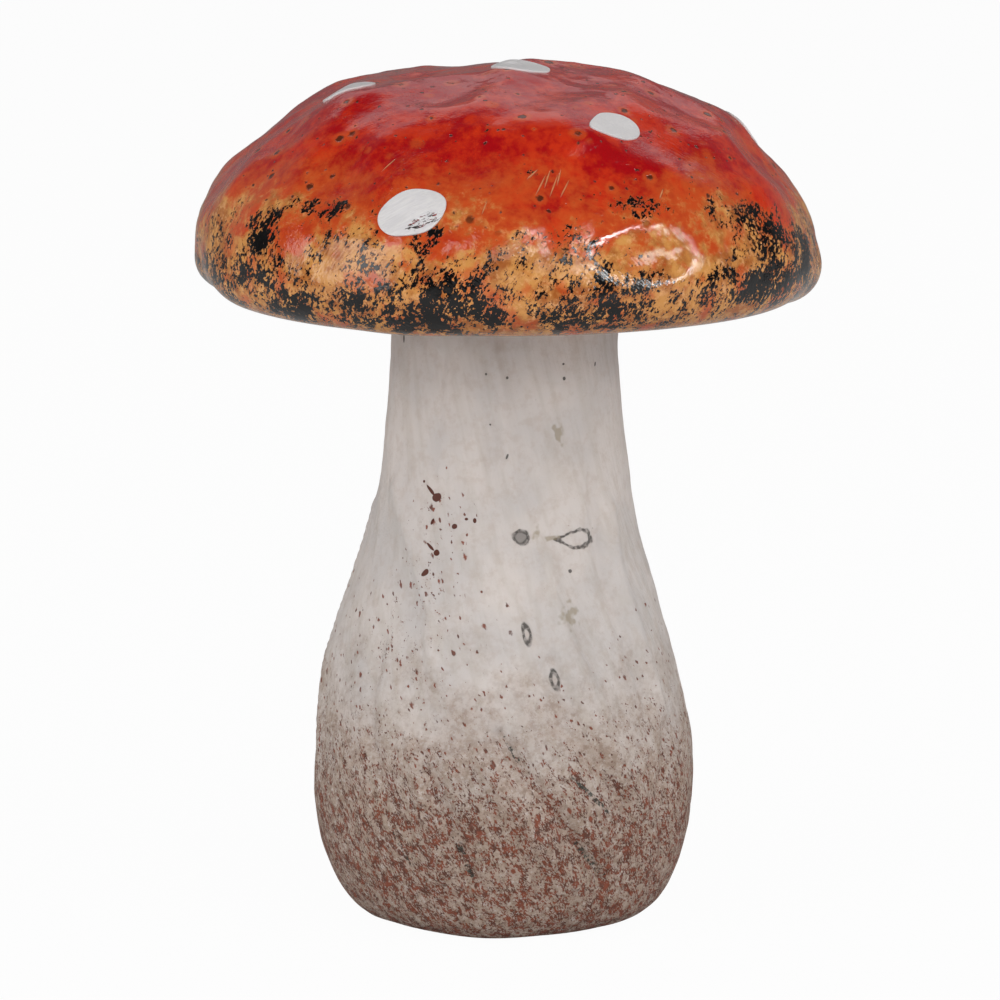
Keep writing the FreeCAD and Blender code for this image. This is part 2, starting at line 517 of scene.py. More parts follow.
@dataclass
class Graph:
    """Writes nodes into a material or a node group, with places in millimetres.

    Args:
        tree: The node tree.
    """

    tree: Tree

    def node(self, kind: str, inputs: dict | None = None, **settings: object) -> Node:
        """Adds a node.

        Args:
            kind: Blender's name of the node.
            inputs: Value or output for each input, by the input's name or number.
            settings: Values of the node itself.

        Returns:
            The node.
        """
        made = self.tree.nodes.new(kind)
        for name, value in settings.items():
            setattr(made, name, value)
        for socket, value in (inputs or {}).items():
            self.feed(made.inputs[socket], value)
        return made

    def feed(self, socket: Socket, value: object) -> None:
        """Links an output to an input, or sets the input's own value.

        Args:
            socket: The input.
            value: The output or the value.
        """
        if isinstance(value, Socket):
            self.tree.links.new(value, socket)
        else:
            socket.default_value = value

    def place(self) -> Socket:
        """The point on the object, in millimetres."""
        coordinates = self.node("ShaderNodeTexCoord")
        return self.scaled(coordinates.outputs["Object"], (1 / MM, 1 / MM, 1 / MM))

    def scaled(self, vector: object, size: tuple[float, float, float]) -> Socket:
        """A vector times a size along each axis."""
        return self.node("ShaderNodeVectorMath", {0: vector, 1: size},
                         operation="MULTIPLY").outputs[0]

    def height(self, vector: object) -> Socket:
        """The upward part of a vector."""
        return self.node("ShaderNodeSeparateXYZ", {0: vector}).outputs["Z"]

    def maths(self, operation: str, a: object, b: object = 0.0) -> Socket:
        """The result of a math node on two values."""
        return self.node("ShaderNodeMath", {0: a, 1: b}, operation=operation).outputs[0]

    def times(self, a: object, b: object) -> Socket:
        """One value times another."""
        return self.maths("MULTIPLY", a, b)

    def plus(self, a: object, b: object) -> Socket:
        """The sum of two values."""
        return self.maths("ADD", a, b)

    def larger(self, a: object, b: object) -> Socket:
        """The larger of two values."""
        return self.maths("MAXIMUM", a, b)

    def between(self, share: object, low: object, high: object) -> Socket:
        """The value a share of the way from one value to another."""
        mix = self.node("ShaderNodeMix", {0: share, 2: low, 3: high}, data_type="FLOAT")
        return mix.outputs[0]

    def noise(self, vector: object, size: float, detail: float = 2, roughness: float = 0.5,
              distortion: float = 0) -> Socket:
        """Noise with lumps of about a size in millimetres, 0 to 1.

        Args:
            vector: Place in millimetres.
            size: Size of the lumps.
            detail: Finer octaves.
            roughness: Strength of the finer octaves.
            distortion: Warp of the pattern.

        Returns:
            The value.
        """
        return self.node("ShaderNodeTexNoise", {
            "Vector": vector, "Scale": 1 / size, "Detail": detail,
            "Roughness": roughness, "Distortion": distortion}).outputs["Fac"]

    def fade(self, value: object, low: object, high: object, start: float = 0,
             end: float = 1) -> Socket:
        """A smooth change from one number to another as a value passes a range.

        Args:
            value: The value.
            low: Value where the change begins.
            high: Value where it ends; below low, the change runs downwards.
            start: Result at low.
            end: Result at high.

        Returns:
            The result.
        """
        return self.node("ShaderNodeMapRange", {
            "Value": value, "From Min": low, "From Max": high, "To Min": start, "To Max": end},
            interpolation_type="SMOOTHSTEP").outputs[0]

    def blend(self, share: object, under: object, over: object) -> Socket:
        """Colour under, with colour over laid on it by a share."""
        mix = self.node("ShaderNodeMix", {0: share, 6: under, 7: over}, data_type="RGBA")
        return mix.outputs[2]

    def wound(self, vector: object, twist: float) -> Socket:
        """Place turned about the axis as it rises.

        Args:
            vector: Place in millimetres.
            twist: Turn in degrees for each millimetre of height.

        Returns:
            The turned place.
        """
        angle = self.times(self.height(vector), math.radians(twist))
        return self.node("ShaderNodeVectorRotate", {"Vector": vector, "Angle": angle},
                         rotation_type="Z_AXIS").outputs[0]

    def turned(self, vector: object, azimuth: float, turn: float) -> Socket:
        """Place as seen from an azimuth, turned in that view.

        Args:
            vector: Place in millimetres.
            azimuth: The azimuth, in degrees.
            turn: Turn of the view, in degrees.

        Returns:
            The turned place.
        """
        angles = (0, math.radians(turn), math.radians(azimuth - FRONT))
        return self.node("ShaderNodeMapping", {"Vector": vector, "Rotation": angles},
                         vector_type="TEXTURE").outputs[0]

    def group(self, tree: Tree, **inputs: object) -> Socket:
        """Adds a shared node group.

        Args:
            tree: The group.
            inputs: Value or output for each input, named as its socket in lower case.

        Returns:
            The group's one output.
        """
        made = self.node("ShaderNodeGroup", node_tree=tree)
        for name, value in inputs.items():
            self.feed(made.inputs[name.capitalize()], value)
        return made.outputs[0]


@dataclass
class Effects:
    """Effects that more than one finish uses, each a shader node group built once."""

    fleck_bend: float = 0.9
    fleck_bend_scale: float = 1.4
    smallest_fleck_share: float = 0.35
    fleck_core_share: float = 0.55
    crumb_scale: float = 4.6
    island_share: float = 0.44
    crumb_share: float = 0.56
    bare_limit: float = 0.68
    full_limit: float = 0.40
    flecks: Tree = field(init=False)
    flakes: Tree = field(init=False)
    bristles: Tree = field(init=False)

    def __post_init__(self) -> None:
        """Builds the groups."""
        self.flecks = self.build_flecks()
        self.flakes = self.build_flakes()
        self.bristles = self.build_bristles()

    @staticmethod
    def start(name: str, inputs: dict[str, object], output: str
              ) -> tuple[Graph, Node, Node]:
        """Starts a group.

        Args:
            name: Name of the group.
            inputs: Default of each input; None for a vector.
            output: Name of its one output, a value.

        Returns:
            The graph, its input node and its output node.
        """
        tree = bpy.data.node_groups.new(name, "ShaderNodeTree")
        for title, default in inputs.items():
            kind = "NodeSocketVector" if default is None else "NodeSocketFloat"
            socket = tree.interface.new_socket(title, in_out="INPUT", socket_type=kind)
            if default is not None:
                socket.default_value = default
        tree.interface.new_socket(output, in_out="OUTPUT", socket_type="NodeSocketFloat")
        graph = Graph(tree)
        return graph, graph.node("NodeGroupInput"), graph.node("NodeGroupOutput")

    def build_flecks(self) -> Tree:
        """Round flecks or pinholes of uneven size, each in a cell of its own.

        Returns:
            The group: Place, Size of a cell, Amount of cells with a fleck and the
            fleck's Radius as a share of the cell in, a mask out.
        """
        graph, given, result = self.start(
            "Flecks", {"Place": None, "Size": 5.0, "Amount": 0.3, "Radius": 0.2}, "Mask")
        warp = graph.node("ShaderNodeTexNoise", {
            "Vector": given.outputs["Place"], "Scale": self.fleck_bend_scale})
        bent = graph.node("ShaderNodeVectorMath", {
            0: warp.outputs["Color"], 1: (self.fleck_bend,) * 3, 2: given.outputs["Place"]},
            operation="MULTIPLY_ADD")
        scale = graph.maths("DIVIDE", 1.0, given.outputs["Size"])
        cells = graph.node("ShaderNodeTexVoronoi", {"Vector": bent.outputs[0], "Scale": scale})
        chance = graph.node("ShaderNodeSeparateColor", {0: cells.outputs["Color"]})
        size = graph.fade(chance.outputs["Green"], 0, 1, self.smallest_fleck_share, 1)
        radius = graph.times(given.outputs["Radius"], size)
        inner = graph.times(radius, self.fleck_core_share)
        mask = graph.fade(cells.outputs["Distance"], radius, inner)
        there = graph.maths("LESS_THAN", chance.outputs["Red"], given.outputs["Amount"])
        graph.feed(result.inputs["Mask"], graph.times(mask, there))
        return graph.tree

    def build_flakes(self) -> Tree:
        """Ragged islands, as of a second colour that was sponged on.

        Returns:
            The group: Place, Size of an island, Amount from 0 to 1 and softness of
            the Edge in, a mask out.
        """
        graph, given, result = self.start(
            "Flakes", {"Place": None, "Size": 8.0, "Amount": 0.5, "Edge": 0.02}, "Mask")
        scale = graph.maths("DIVIDE", 1.0, given.outputs["Size"])
        islands = graph.node("ShaderNodeTexNoise", {
            "Vector": given.outputs["Place"], "Scale": scale, "Detail": 3.0,
            "Roughness": 0.6, "Distortion": 0.4})
        crumbs = graph.node("ShaderNodeTexNoise", {
            "Vector": given.outputs["Place"], "Scale": graph.times(scale, self.crumb_scale),
            "Detail": 3.0, "Roughness": 0.7})
        joined = graph.plus(graph.times(islands.outputs["Fac"], self.island_share),
                            graph.times(crumbs.outputs["Fac"], self.crumb_share))
        limit = graph.fade(given.outputs["Amount"], 0, 1, self.bare_limit, self.full_limit)
        upper = graph.plus(limit, given.outputs["Edge"])
        graph.feed(result.inputs["Mask"], graph.fade(joined, limit, upper))
        return graph.tree

    def build_bristles(self) -> Tree:
        """Fine parallel lines that a brush leaves, along the Z axis of the place given.

        Returns:
            The group: Place, Spacing of the lines and their Length in, a value out.
        """
        graph, given, result = self.start(
            "Bristles", {"Place": None, "Spacing": 0.5, "Length": 9.0}, "Lines")
        across = graph.maths("DIVIDE", 1.0, given.outputs["Spacing"])
        along = graph.maths("DIVIDE", 1.0, given.outputs["Length"])
        stretch = graph.node("ShaderNodeCombineXYZ", {"X": across, "Y": across, "Z": along})
        vector = graph.node("ShaderNodeVectorMath", {
            0: given.outputs["Place"], 1: stretch.outputs[0]}, operation="MULTIPLY")
        lines = graph.node("ShaderNodeTexNoise", {
            "Vector": vector.outputs[0], "Scale": 1.0, "Detail": 2.0, "Roughness": 0.55})
        graph.feed(result.inputs["Lines"], lines.outputs["Fac"])
        return graph.tree


@dataclass(frozen=True)
class Accent:
    """A patch of the surface where a finish is stronger or weaker.

    Args:
        azimuth: Azimuth of its centre, in degrees.
        height: Height of its centre, in millimetres.
        half_width: Half its width, in millimetres.
        half_height: Half its height, in millimetres.
        strength: What it adds at its centre, in the finish's own units.
        turn: Turn from level, in degrees.
    """

    azimuth: float
    height: float
    half_width: float
    half_height: float
    strength: float
    turn: float = 0


@dataclass
class Finish:
    """A material with one shader, and helpers for what every finish does.

    Args:
        name: Name of the material.
        effects: The shared effects.
        outline: The side that it covers, rising with height; None where nothing is placed.
    """

    name: str
    effects: Effects
    outline: Outline | None = None
    narrowest: float = 0.2
    material: Material = field(init=False)
    graph: Graph = field(init=False)
    shader: Node = field(init=False)
    place: Socket = field(init=False)
    height: Socket = field(init=False)

    def __post_init__(self) -> None:
        """Makes the empty material."""
        self.material = bpy.data.materials.new(self.name)
        self.material.use_nodes = True
        self.graph = Graph(self.material.node_tree)
        self.shader = self.material.node_tree.nodes["Principled BSDF"]
        self.place = self.graph.place()
        self.height = self.graph.height(self.place)

    def patch(self, azimuth: float, height: float, half_size: Pair, turn: float = 0,
              taper: float = 0) -> Socket:
        """Distance from an oval patch on the side, 1 at its edge.

        Args:
            azimuth: Azimuth of its centre, in degrees.
            height: Height of its centre, in millimetres.
            half_size: Half its length and half its width, in millimetres.
            turn: Turn from level, in degrees.
            taper: How much narrower it is at its left end, 0 to 1.

        Returns:
            The distance.
        """
        graph = self.graph
        place = graph.node("ShaderNodeMapping", {
            "Vector": self.place,
            "Location": around(azimuth, self.outline.level(height * MM)) / MM,
            "Rotation": (0, math.radians(turn), math.radians(azimuth - FRONT)),
            "Scale": (half_size[0], max(half_size) * 2, half_size[1])},
            vector_type="TEXTURE").outputs[0]
        if taper:
            parts = graph.node("ShaderNodeSeparateXYZ", {0: place})
            width = graph.plus(graph.times(parts.outputs["X"], taper), 1.0)
            width = graph.larger(width, self.narrowest)
            place = graph.node("ShaderNodeCombineXYZ", {
                "X": parts.outputs["X"], "Y": parts.outputs["Y"],
                "Z": graph.maths("DIVIDE", parts.outputs["Z"], width)}).outputs[0]
        return graph.node("ShaderNodeVectorMath", {0: place},
                          operation="LENGTH").outputs["Value"]

    def add_accents(self, value: object, accents: tuple[Accent, ...]) -> Socket:
        """A value with accents added where they lie.

        Args:
            value: The value.
            accents: The accents.

        Returns:
            The new value.
        """
        for accent in accents:
            half_size = (accent.half_width, accent.half_height)
            distance = self.patch(accent.azimuth, accent.height, half_size, accent.turn)
            weight = self.graph.fade(distance, 1.25, 0.3, 0, accent.strength)
            value = self.graph.plus(value, weight)
        return value

    def relief(self, height: object) -> None:
        """Raises the surface by a value in millimetres."""
        bump = self.graph.node("ShaderNodeBump", {"Height": height, "Distance": MM})
        self.graph.feed(self.shader.inputs["Normal"], bump.outputs[0])

    def dress(self, colour: object, roughness: object) -> None:
        """Feeds the shader's colour and roughness."""
        self.graph.feed(self.shader.inputs["Base Color"], colour)
        self.graph.feed(self.shader.inputs["Roughness"], roughness)


@dataclass(frozen=True)
class CapGlaze:
    """Glossy glaze that runs from crimson through orange to ochre, with black flakes."""

    crimson: Colour = paint(158, 6, 14)
    flame: Colour = paint(192, 46, 18)
    orange: Colour = paint(194, 82, 34)
    ochre: Colour = paint(202, 142, 76)
    pale_ochre: Colour = paint(226, 172, 116)
    brown: Colour = paint(158, 88, 40)
    black: Colour = paint(11, 10, 10)
    pinhole: Colour = paint(62, 30, 16)
    # The pale ochre later laid in these scratches is partly a painted highlight of their glint.
    scratches: tuple[tuple[float, float, float, float], ...] = (
        (277.6, 160.6, 5.0, -52), (279.2, 161.6, 4.2, -60), (280.4, 160.4, 5.4, -57),
        (281.8, 161.8, 3.6, -64), (282.6, 159.8, 4.4, -50), (276.0, 162.4, 3.2, -35),
        (303.0, 158.0, 2.8, -40), (243.5, 163.5, 3.4, -50), (266.0, 156.5, 3.0, -70),
    )
    orange_level: float = 156.0
    ochre_level: float = 151.0
    flake_size: float = 3.8
    flake_top: float = 162
    flake_bottom: float = 138
    rim_clear: Pair = (131.2, 133.5)
    hole_level: Pair = (150, 156)
    hole_cell: float = 5.4
    small_hole_cell: float = 2.6
    bristle_spacing: float = 0.5
    bulge: Pair = (298, 146)
    bulge_half_size: Pair = (17, 11)
    gloss: Pair = (0.055, 0.11)
    scratch_width: float = 0.34
    scratch_depth: float = 0.25
    hole_depth: float = 0.10
    peel_rise: float = 0.10
    ridge_rise: float = 0.11
    flake_rise: float = 0.02
    zone_accents: tuple[Accent, ...] = (
        Accent(261, 149, 8, 4, 8),
        Accent(276, 150, 12, 4, 3),
        Accent(225, 149, 7, 5, 5),
        Accent(300, 150, 12, 5, -3),
        Accent(245, 150, 8, 6, -4),
        Accent(213, 156, 10, 6, -6),
        Accent(330, 151, 9, 8, 6),
    )
    black_accents: tuple[Accent, ...] = (
        Accent(298, 156, 8, 3, 0.34),
        Accent(318, 153, 7, 5, 0.28),
        Accent(328, 149, 9, 8, 0.29),
        Accent(339, 142, 8, 8, 0.25),
        Accent(322, 138, 12, 4, 0.20),
        Accent(232, 155, 9, 3, 0.40),
        Accent(219, 150, 7, 5, 0.30),
        Accent(256, 151, 4, 4, 0.30),
        Accent(281, 149, 7, 4, 0.22),
        Accent(262, 135, 12, 4, 0.15),
        Accent(228, 135, 10, 4, 0.20),
        Accent(305, 147, 12, 5, -0.38),
        Accent(243, 148, 10, 7, 0.08),
        Accent(270, 155, 12, 3, -0.35),
    )

    def build(self, effects: Effects, outline: Outline) -> Material:
        """Builds the material.

        Args:
            effects: The shared effects.
            outline: The cap's side, rising with height.

        Returns:
            The material.
        """
        finish = Finish("cap_glaze", effects, outline)
        graph, place = finish.graph, finish.place
        ground = self.ground(finish)
        flakes, fringe = self.flake_masks(finish)
        ground = graph.blend(graph.times(fringe, 0.55), ground, self.brown)
        holes, halo = self.hole_masks(finish)
        ground = graph.blend(graph.times(halo, 0.5), ground, self.orange)
        ground = graph.blend(graph.times(holes, 0.9), ground, self.pinhole)
        colour = graph.blend(flakes, ground, self.black)
        scratched = self.scratch_glint_mask(finish)
        # Pale ochre in the scratches: partly the worn glaze, partly a painted highlight of their
        # glint.
        colour = graph.blend(graph.times(scratched, 0.45), colour, self.pale_ochre)
        roughness = graph.fade(graph.noise(place, 6, 3), 0.35, 0.65, *self.gloss)
        even = graph.fade(finish.patch(*self.bulge, self.bulge_half_size), 1.1, 0.8)
        roughness = graph.maths("SUBTRACT", roughness, graph.times(even, 0.03))
        finish.dress(colour, roughness)
        peel = graph.times(graph.noise(place, 2.6, 3), self.peel_rise)
        ridges = graph.times(self.brush_lines(finish), self.ridge_rise)
        soft = graph.times(graph.plus(peel, ridges), graph.fade(even, 0, 1, 1.0, 0.32))
        pits = graph.plus(graph.times(holes, -self.hole_depth),
                          graph.times(scratched, -self.scratch_depth))
        raised = graph.times(flakes, self.flake_rise)
        finish.relief(graph.plus(soft, graph.plus(pits, raised)))
        return finish.material

    def scratch_glint_mask(self, finish: Finish) -> Socket:
        """Finds the few short scratches in the front of the dome, their pale colour partly the
        scratched glaze and partly a painted highlight of their glint.

        Args:
            finish: The finish that is built.

        Returns:
            Their mask.
        """
        graph, mask = finish.graph, 0.0
        for azimuth, height, length, turn in self.scratches:
            distance = finish.patch(azimuth, height, (length / 2, self.scratch_width / 2), turn)
            mask = graph.larger(mask, graph.fade(distance, 1.1, 0.6))
        return mask

    def ground(self, finish: Finish) -> Socket:
        """Lays the colour zones, with the drift of a hand-laid glaze.

        Args:
            finish: The finish that is built.

        Returns:
            Colour of the glaze without flakes, pinholes and scratches.
        """
        graph, place = finish.graph, finish.place
        drift = graph.fade(graph.noise(place, 15, 2), 0.3, 0.7, -5, 5)
        ragged = graph.fade(graph.noise(place, 2.6, 4, 0.65), 0.25, 0.75, -4, 4)
        level = graph.plus(finish.height, graph.plus(drift, ragged))
        level = finish.add_accents(level, self.zone_accents)
        pools = graph.plus(graph.times(graph.noise(place, 12, 4, 0.6, 0.6), 0.62),
                           graph.times(graph.noise(place, 2.4, 4, 0.65), 0.38))
        red = graph.blend(graph.fade(pools, 0.43, 0.60), self.crimson, self.flame)
        bare = graph.fade(graph.noise(place, 5, 5, 0.65), 0.35, 0.62)
        ochre = graph.blend(bare, self.brown, self.ochre)
        pale = graph.fade(graph.noise(place, 1.8, 5, 0.7), 0.5, 0.68)
        ochre = graph.blend(graph.times(pale, 0.6), ochre, self.pale_ochre)
        stain = graph.fade(graph.noise(place, 7, 4, 0.6), 0.50, 0.64)
        ochre = graph.blend(graph.times(stain, 0.50), ochre, self.flame)
        warm = graph.fade(level, self.orange_level + 9, self.orange_level - 5)
        red = graph.blend(graph.times(warm, 0.85), red, self.orange)
        low = graph.fade(level, self.ochre_level + 3, self.ochre_level - 3)
        return graph.blend(low, red, ochre)

    def flake_masks(self, finish: Finish) -> tuple[Socket, Socket]:
        """Scatters the black flakes, thickest above the rim.

        Args:
            finish: The finish that is built.

        Returns:
            Masks of the flakes and of the brown fringe round them.
        """
        graph, effects = finish.graph, finish.effects
        amount = graph.fade(finish.height, self.flake_top, self.flake_bottom, 0.16, 0.575)
        patchy = graph.fade(graph.noise(finish.place, 11, 2), 0.35, 0.65, -0.10, 0.10)
        amount = graph.plus(amount, patchy)
        amount = graph.plus(amount, graph.fade(finish.height, *self.rim_clear, -0.12, 0))
        amount = finish.add_accents(amount, self.black_accents)
        slanted = graph.scaled(graph.turned(finish.place, FRONT, 28), (1.25, 1.0, 0.8))
        flakes = graph.group(effects.flakes, place=slanted, size=self.flake_size,
                             amount=amount, edge=0.012)
        fringe = graph.group(effects.flakes, place=slanted, size=self.flake_size,
                             amount=graph.plus(amount, 0.10), edge=0.04)
        return flakes, fringe

    def hole_masks(self, finish: Finish) -> tuple[Socket, Socket]:
        """Scatters pinholes in the red.

        Args:
            finish: The finish that is built.

        Returns:
            Masks of the pinholes and of the orange round the large ones.
        """
        graph, flecks, place = finish.graph, finish.effects.flecks, finish.place
        above = graph.fade(finish.height, *self.hole_level)
        large = graph.group(flecks, place=place, size=self.hole_cell, amount=0.95, radius=0.21)
        small = graph.group(flecks, place=place, size=self.small_hole_cell, amount=0.85,
                            radius=0.20)
        halo = graph.group(flecks, place=place, size=self.hole_cell, amount=0.95, radius=0.46)
        return graph.times(graph.larger(large, small), above), graph.times(halo, above)

    def brush_lines(self, finish: Finish) -> Socket:
        """Draws the lines of the brush, in one of two directions.

        Args:
            finish: The finish that is built.

        Returns:
            Their height, 0 to 1, less where they hardly show.
        """
        graph, bristles, place = finish.graph, finish.effects.bristles, finish.place
        rising = graph.group(bristles, place=graph.turned(place, FRONT, 40),
                             spacing=self.bristle_spacing)
        falling = graph.group(bristles, place=graph.turned(place, FRONT, -48),
                              spacing=self.bristle_spacing)
        choice = graph.fade(graph.noise(place, 16, 1), 0.46, 0.54)
        patchy = graph.fade(graph.noise(place, 9, 2), 0.42, 0.62, 0.3, 1)
        return graph.times(graph.between(choice, rising, falling), patchy)


class MarkKind(Enum):
    """Small marks on the stem."""

    EYELET = "ring with a dark outline"
    PLUG = "ring filled with grey"
    SMEAR = "faint brownish stain"
    SPECK = "drop of terracotta"
    CRACK = "broken dark crack"
    PIT = "tiny dark pit"


@dataclass(frozen=True)
class Mark:
    """A small mark on the stem.

    Args:
        kind: What it is.
        azimuth: Azimuth of its centre, in degrees.
        height: Height of its centre, in millimetres.
        half_size: Half its length and half its width, in millimetres.
        turn: Turn from level, in degrees.
        taper: How much narrower it is at its left end, 0 to 1.
    """

    kind: MarkKind
    azimuth: float
    height: float
    half_size: Pair
    turn: float = 0
    taper: float = 0


@dataclass(frozen=True)
class StemSlip:
    """Matt off-white slip over terracotta, worn through to it in flecks near the foot."""

    warm: Colour = paint(203, 195, 190)
    cool: Colour = paint(193, 187, 184)
    taupe: Colour = paint(164, 142, 126)
    silt: Colour = paint(126, 102, 86)
    terracotta: Colour = paint(128, 60, 38)
    dark_clay: Colour = paint(84, 42, 30)
    ink: Colour = paint(66, 62, 58)
    moss: Colour = paint(52, 60, 54)
    filler: Colour = paint(138, 132, 128)
    smear: Colour = paint(140, 126, 100)
    twist: float = 0.55
    sheen: float = 0.35
    worn_top: float = 82
    worn_bottom: float = 18
    wear_depth: float = 0.06
    mark_depth: float = 0.2
    ring_depth: float = 0.15
    ring_half_width: float = 0.40
    ring_core: float = 0.14
    wear_accents: tuple[Accent, ...] = (
        Accent(238, 84, 10, 16, 0.29),
        Accent(232, 66, 16, 14, 0.22),
        Accent(292, 60, 14, 12, -0.12),
    )
    marks: tuple[Mark, ...] = (
        Mark(MarkKind.PLUG, 276.3, 84.4, (1.5, 1.35), 0, 0.25),
        Mark(MarkKind.EYELET, 300.5, 83.2, (4.2, 1.6), 4, 0.55),
        Mark(MarkKind.SMEAR, 283.0, 84.8, (0.7, 1.6), 10),
        Mark(MarkKind.SMEAR, 289.0, 84.0, (2.6, 0.5), 4),
        Mark(MarkKind.SMEAR, 296.5, 105.0, (1.0, 3.0), -15),
        Mark(MarkKind.SMEAR, 294.5, 68.4, (2.0, 2.4), 30),
        Mark(MarkKind.EYELET, 277.8, 65.0, (0.7, 1.8), -12),
        Mark(MarkKind.EYELET, 286.6, 55.9, (0.7, 1.6), -12),
        Mark(MarkKind.SPECK, 237.7, 91.7, (1.0, 0.9)),
        Mark(MarkKind.SPECK, 234.0, 92.9, (1.6, 0.35), 40),
        Mark(MarkKind.SPECK, 229.5, 94.5, (0.3, 0.3)),
        Mark(MarkKind.SPECK, 256.8, 87.6, (0.4, 0.55)),
        Mark(MarkKind.SPECK, 253.0, 87.8, (0.4, 0.3)),
        Mark(MarkKind.SPECK, 247.8, 86.2, (0.6, 0.5)),
        Mark(MarkKind.SPECK, 237.0, 86.7, (0.35, 0.8), 25),
        Mark(MarkKind.SPECK, 240.7, 80.6, (0.75, 0.7)),
        Mark(MarkKind.SPECK, 237.5, 81.6, (1.3, 0.3), 35),
        Mark(MarkKind.SPECK, 237.0, 76.5, (0.6, 0.9), 30),
        Mark(MarkKind.PIT, 260.7, 117.6, (0.28, 0.32)),
        Mark(MarkKind.PIT, 271.0, 116.9, (0.28, 0.28)),
        Mark(MarkKind.PIT, 300.2, 119.2, (0.30, 0.26)),
        Mark(MarkKind.PIT, 300.3, 116.2, (0.34, 0.38)),
        Mark(MarkKind.PIT, 321.4, 118.2, (0.24, 0.50), 15),
        Mark(MarkKind.PIT, 262.7, 107.1, (0.28, 0.30)),
        Mark(MarkKind.PIT, 208.0, 123.0, (0.40, 0.90)),
        Mark(MarkKind.PIT, 271.0, 100.9, (0.26, 0.70), 20),
        Mark(MarkKind.PIT, 297.0, 77.0, (0.45, 0.40)),
        Mark(MarkKind.CRACK, 256.5, 20.5, (0.6, 6.5), -20),
        Mark(MarkKind.CRACK, 297.0, 18.0, (0.7, 7.5), -42),
        Mark(MarkKind.CRACK, 272.0, 42.0, (0.45, 5.0), -30),
        Mark(MarkKind.CRACK, 296.0, 32.0, (0.5, 6.0), -45),
        Mark(MarkKind.CRACK, 236.0, 22.0, (0.5, 6.0), -25),
    )

    def build(self, effects: Effects, outline: Outline) -> Material:
        """Builds the material.

        Args:
            effects: The shared effects.
            outline: The stem's side, rising with height.

        Returns:
            The material.
        """
        finish = Finish("stem_slip", effects, outline)
        graph, place = finish.graph, finish.place
        wound = graph.wound(place, self.twist)
        streaks = graph.group(effects.bristles, place=wound, spacing=2.6, length=34.0)
        fine = graph.group(effects.bristles, place=wound, spacing=0.7, length=10.0)
        colour = self.wash(finish, streaks)
        worn = self.wear_mask(finish, wound)
        depth = graph.fade(graph.noise(place, 1.3, 2), 0.35, 0.65)
        clay = graph.blend(depth, self.dark_clay, self.terracotta)
        colour = graph.blend(graph.times(worn, 0.92), colour, clay)
        relief = graph.times(worn, -self.wear_depth)
        for mark in self.marks:
            colour, relief = self.lay_mark(finish, mark, colour, relief)
        dots = graph.group(effects.flecks, place=place, size=6.0, amount=0.14, radius=0.05)
        colour = graph.blend(graph.times(dots, 0.8), colour, self.ink)
        finish.dress(colour, graph.fade(graph.noise(place, 4, 2), 0.3, 0.7, 0.62, 0.8))
        finish.shader.inputs["Specular IOR Level"].default_value = self.sheen
        grain = graph.times(graph.noise(place, 1.0, 4, 0.6), 0.12)
        lines = graph.plus(graph.times(streaks, 0.35), graph.times(fine, 0.10))
        finish.relief(graph.plus(graph.plus(grain, lines), relief))
        return finish.material

    def wash(self, finish: Finish, streaks: Socket) -> Socket:
        """Washes the clay with slip, uneven, streaked and darker towards the foot.

        Args:
            finish: The finish that is built.
            streaks: The tall streaks of the wash, 0 to 1.

        Returns:
            Colour of the slip.
        """
        graph, place = finish.graph, finish.place
        colour = graph.blend(graph.fade(graph.noise(place, 17, 3), 0.35, 0.65),
                             self.cool, self.warm)
        drift = graph.fade(graph.noise(place, 9, 4, 0.7), 0.25, 0.75, -11, 11)
        level = graph.plus(finish.height, drift)
        colour = graph.blend(graph.fade(level, 66, 22, 0, 0.85), colour, self.taupe)
        crumbly = graph.fade(graph.noise(place, 1.7, 4, 0.75), 0.42, 0.62)
        crumbly = graph.times(crumbly, graph.fade(level, 70, 28, 0, 0.6))
        colour = graph.blend(crumbly, colour, self.silt)
        bare = graph.fade(graph.noise(place, 1.1, 4, 0.7), 0.52, 0.66)
        bare = graph.times(bare, graph.fade(level, 60, 30, 0, 0.5))
        colour = graph.blend(bare, colour, self.warm)
        colour = graph.blend(graph.fade(streaks, 0.44, 0.68, 0, 0.13), colour, self.smear)
        mottle = graph.fade(graph.noise(place, 2.6, 4, 0.7), 0.45, 0.68, 0, 0.22)
        return graph.blend(mottle, colour, self.taupe)

    def wear_mask(self, finish: Finish, wound: Socket) -> Socket:
        """Wears the slip through to the clay in flecks, most near the foot.

        Args:
            finish: The finish that is built.
            wound: Place, turned as it rises.

        Returns:
            Mask of the flecks.
        """
        graph, effects = finish.graph, finish.effects
        amount = graph.fade(finish.height, self.worn_top, self.worn_bottom, 0.02, 0.60)
        amount = finish.add_accents(amount, self.wear_accents)
        tall = graph.scaled(wound, (1.0, 1.0, 0.68))
        flakes = graph.group(effects.flakes, place=tall, size=1.7, amount=amount, edge=0.02)
        chance = graph.times(graph.maths("SUBTRACT", amount, 0.03), 1.5)
        drops = graph.group(effects.flecks, place=tall, size=2.3, amount=chance, radius=0.27)
        dust = graph.group(effects.flecks, place=tall, size=1.1, amount=chance, radius=0.36)
        return graph.larger(flakes, graph.larger(drops, dust))

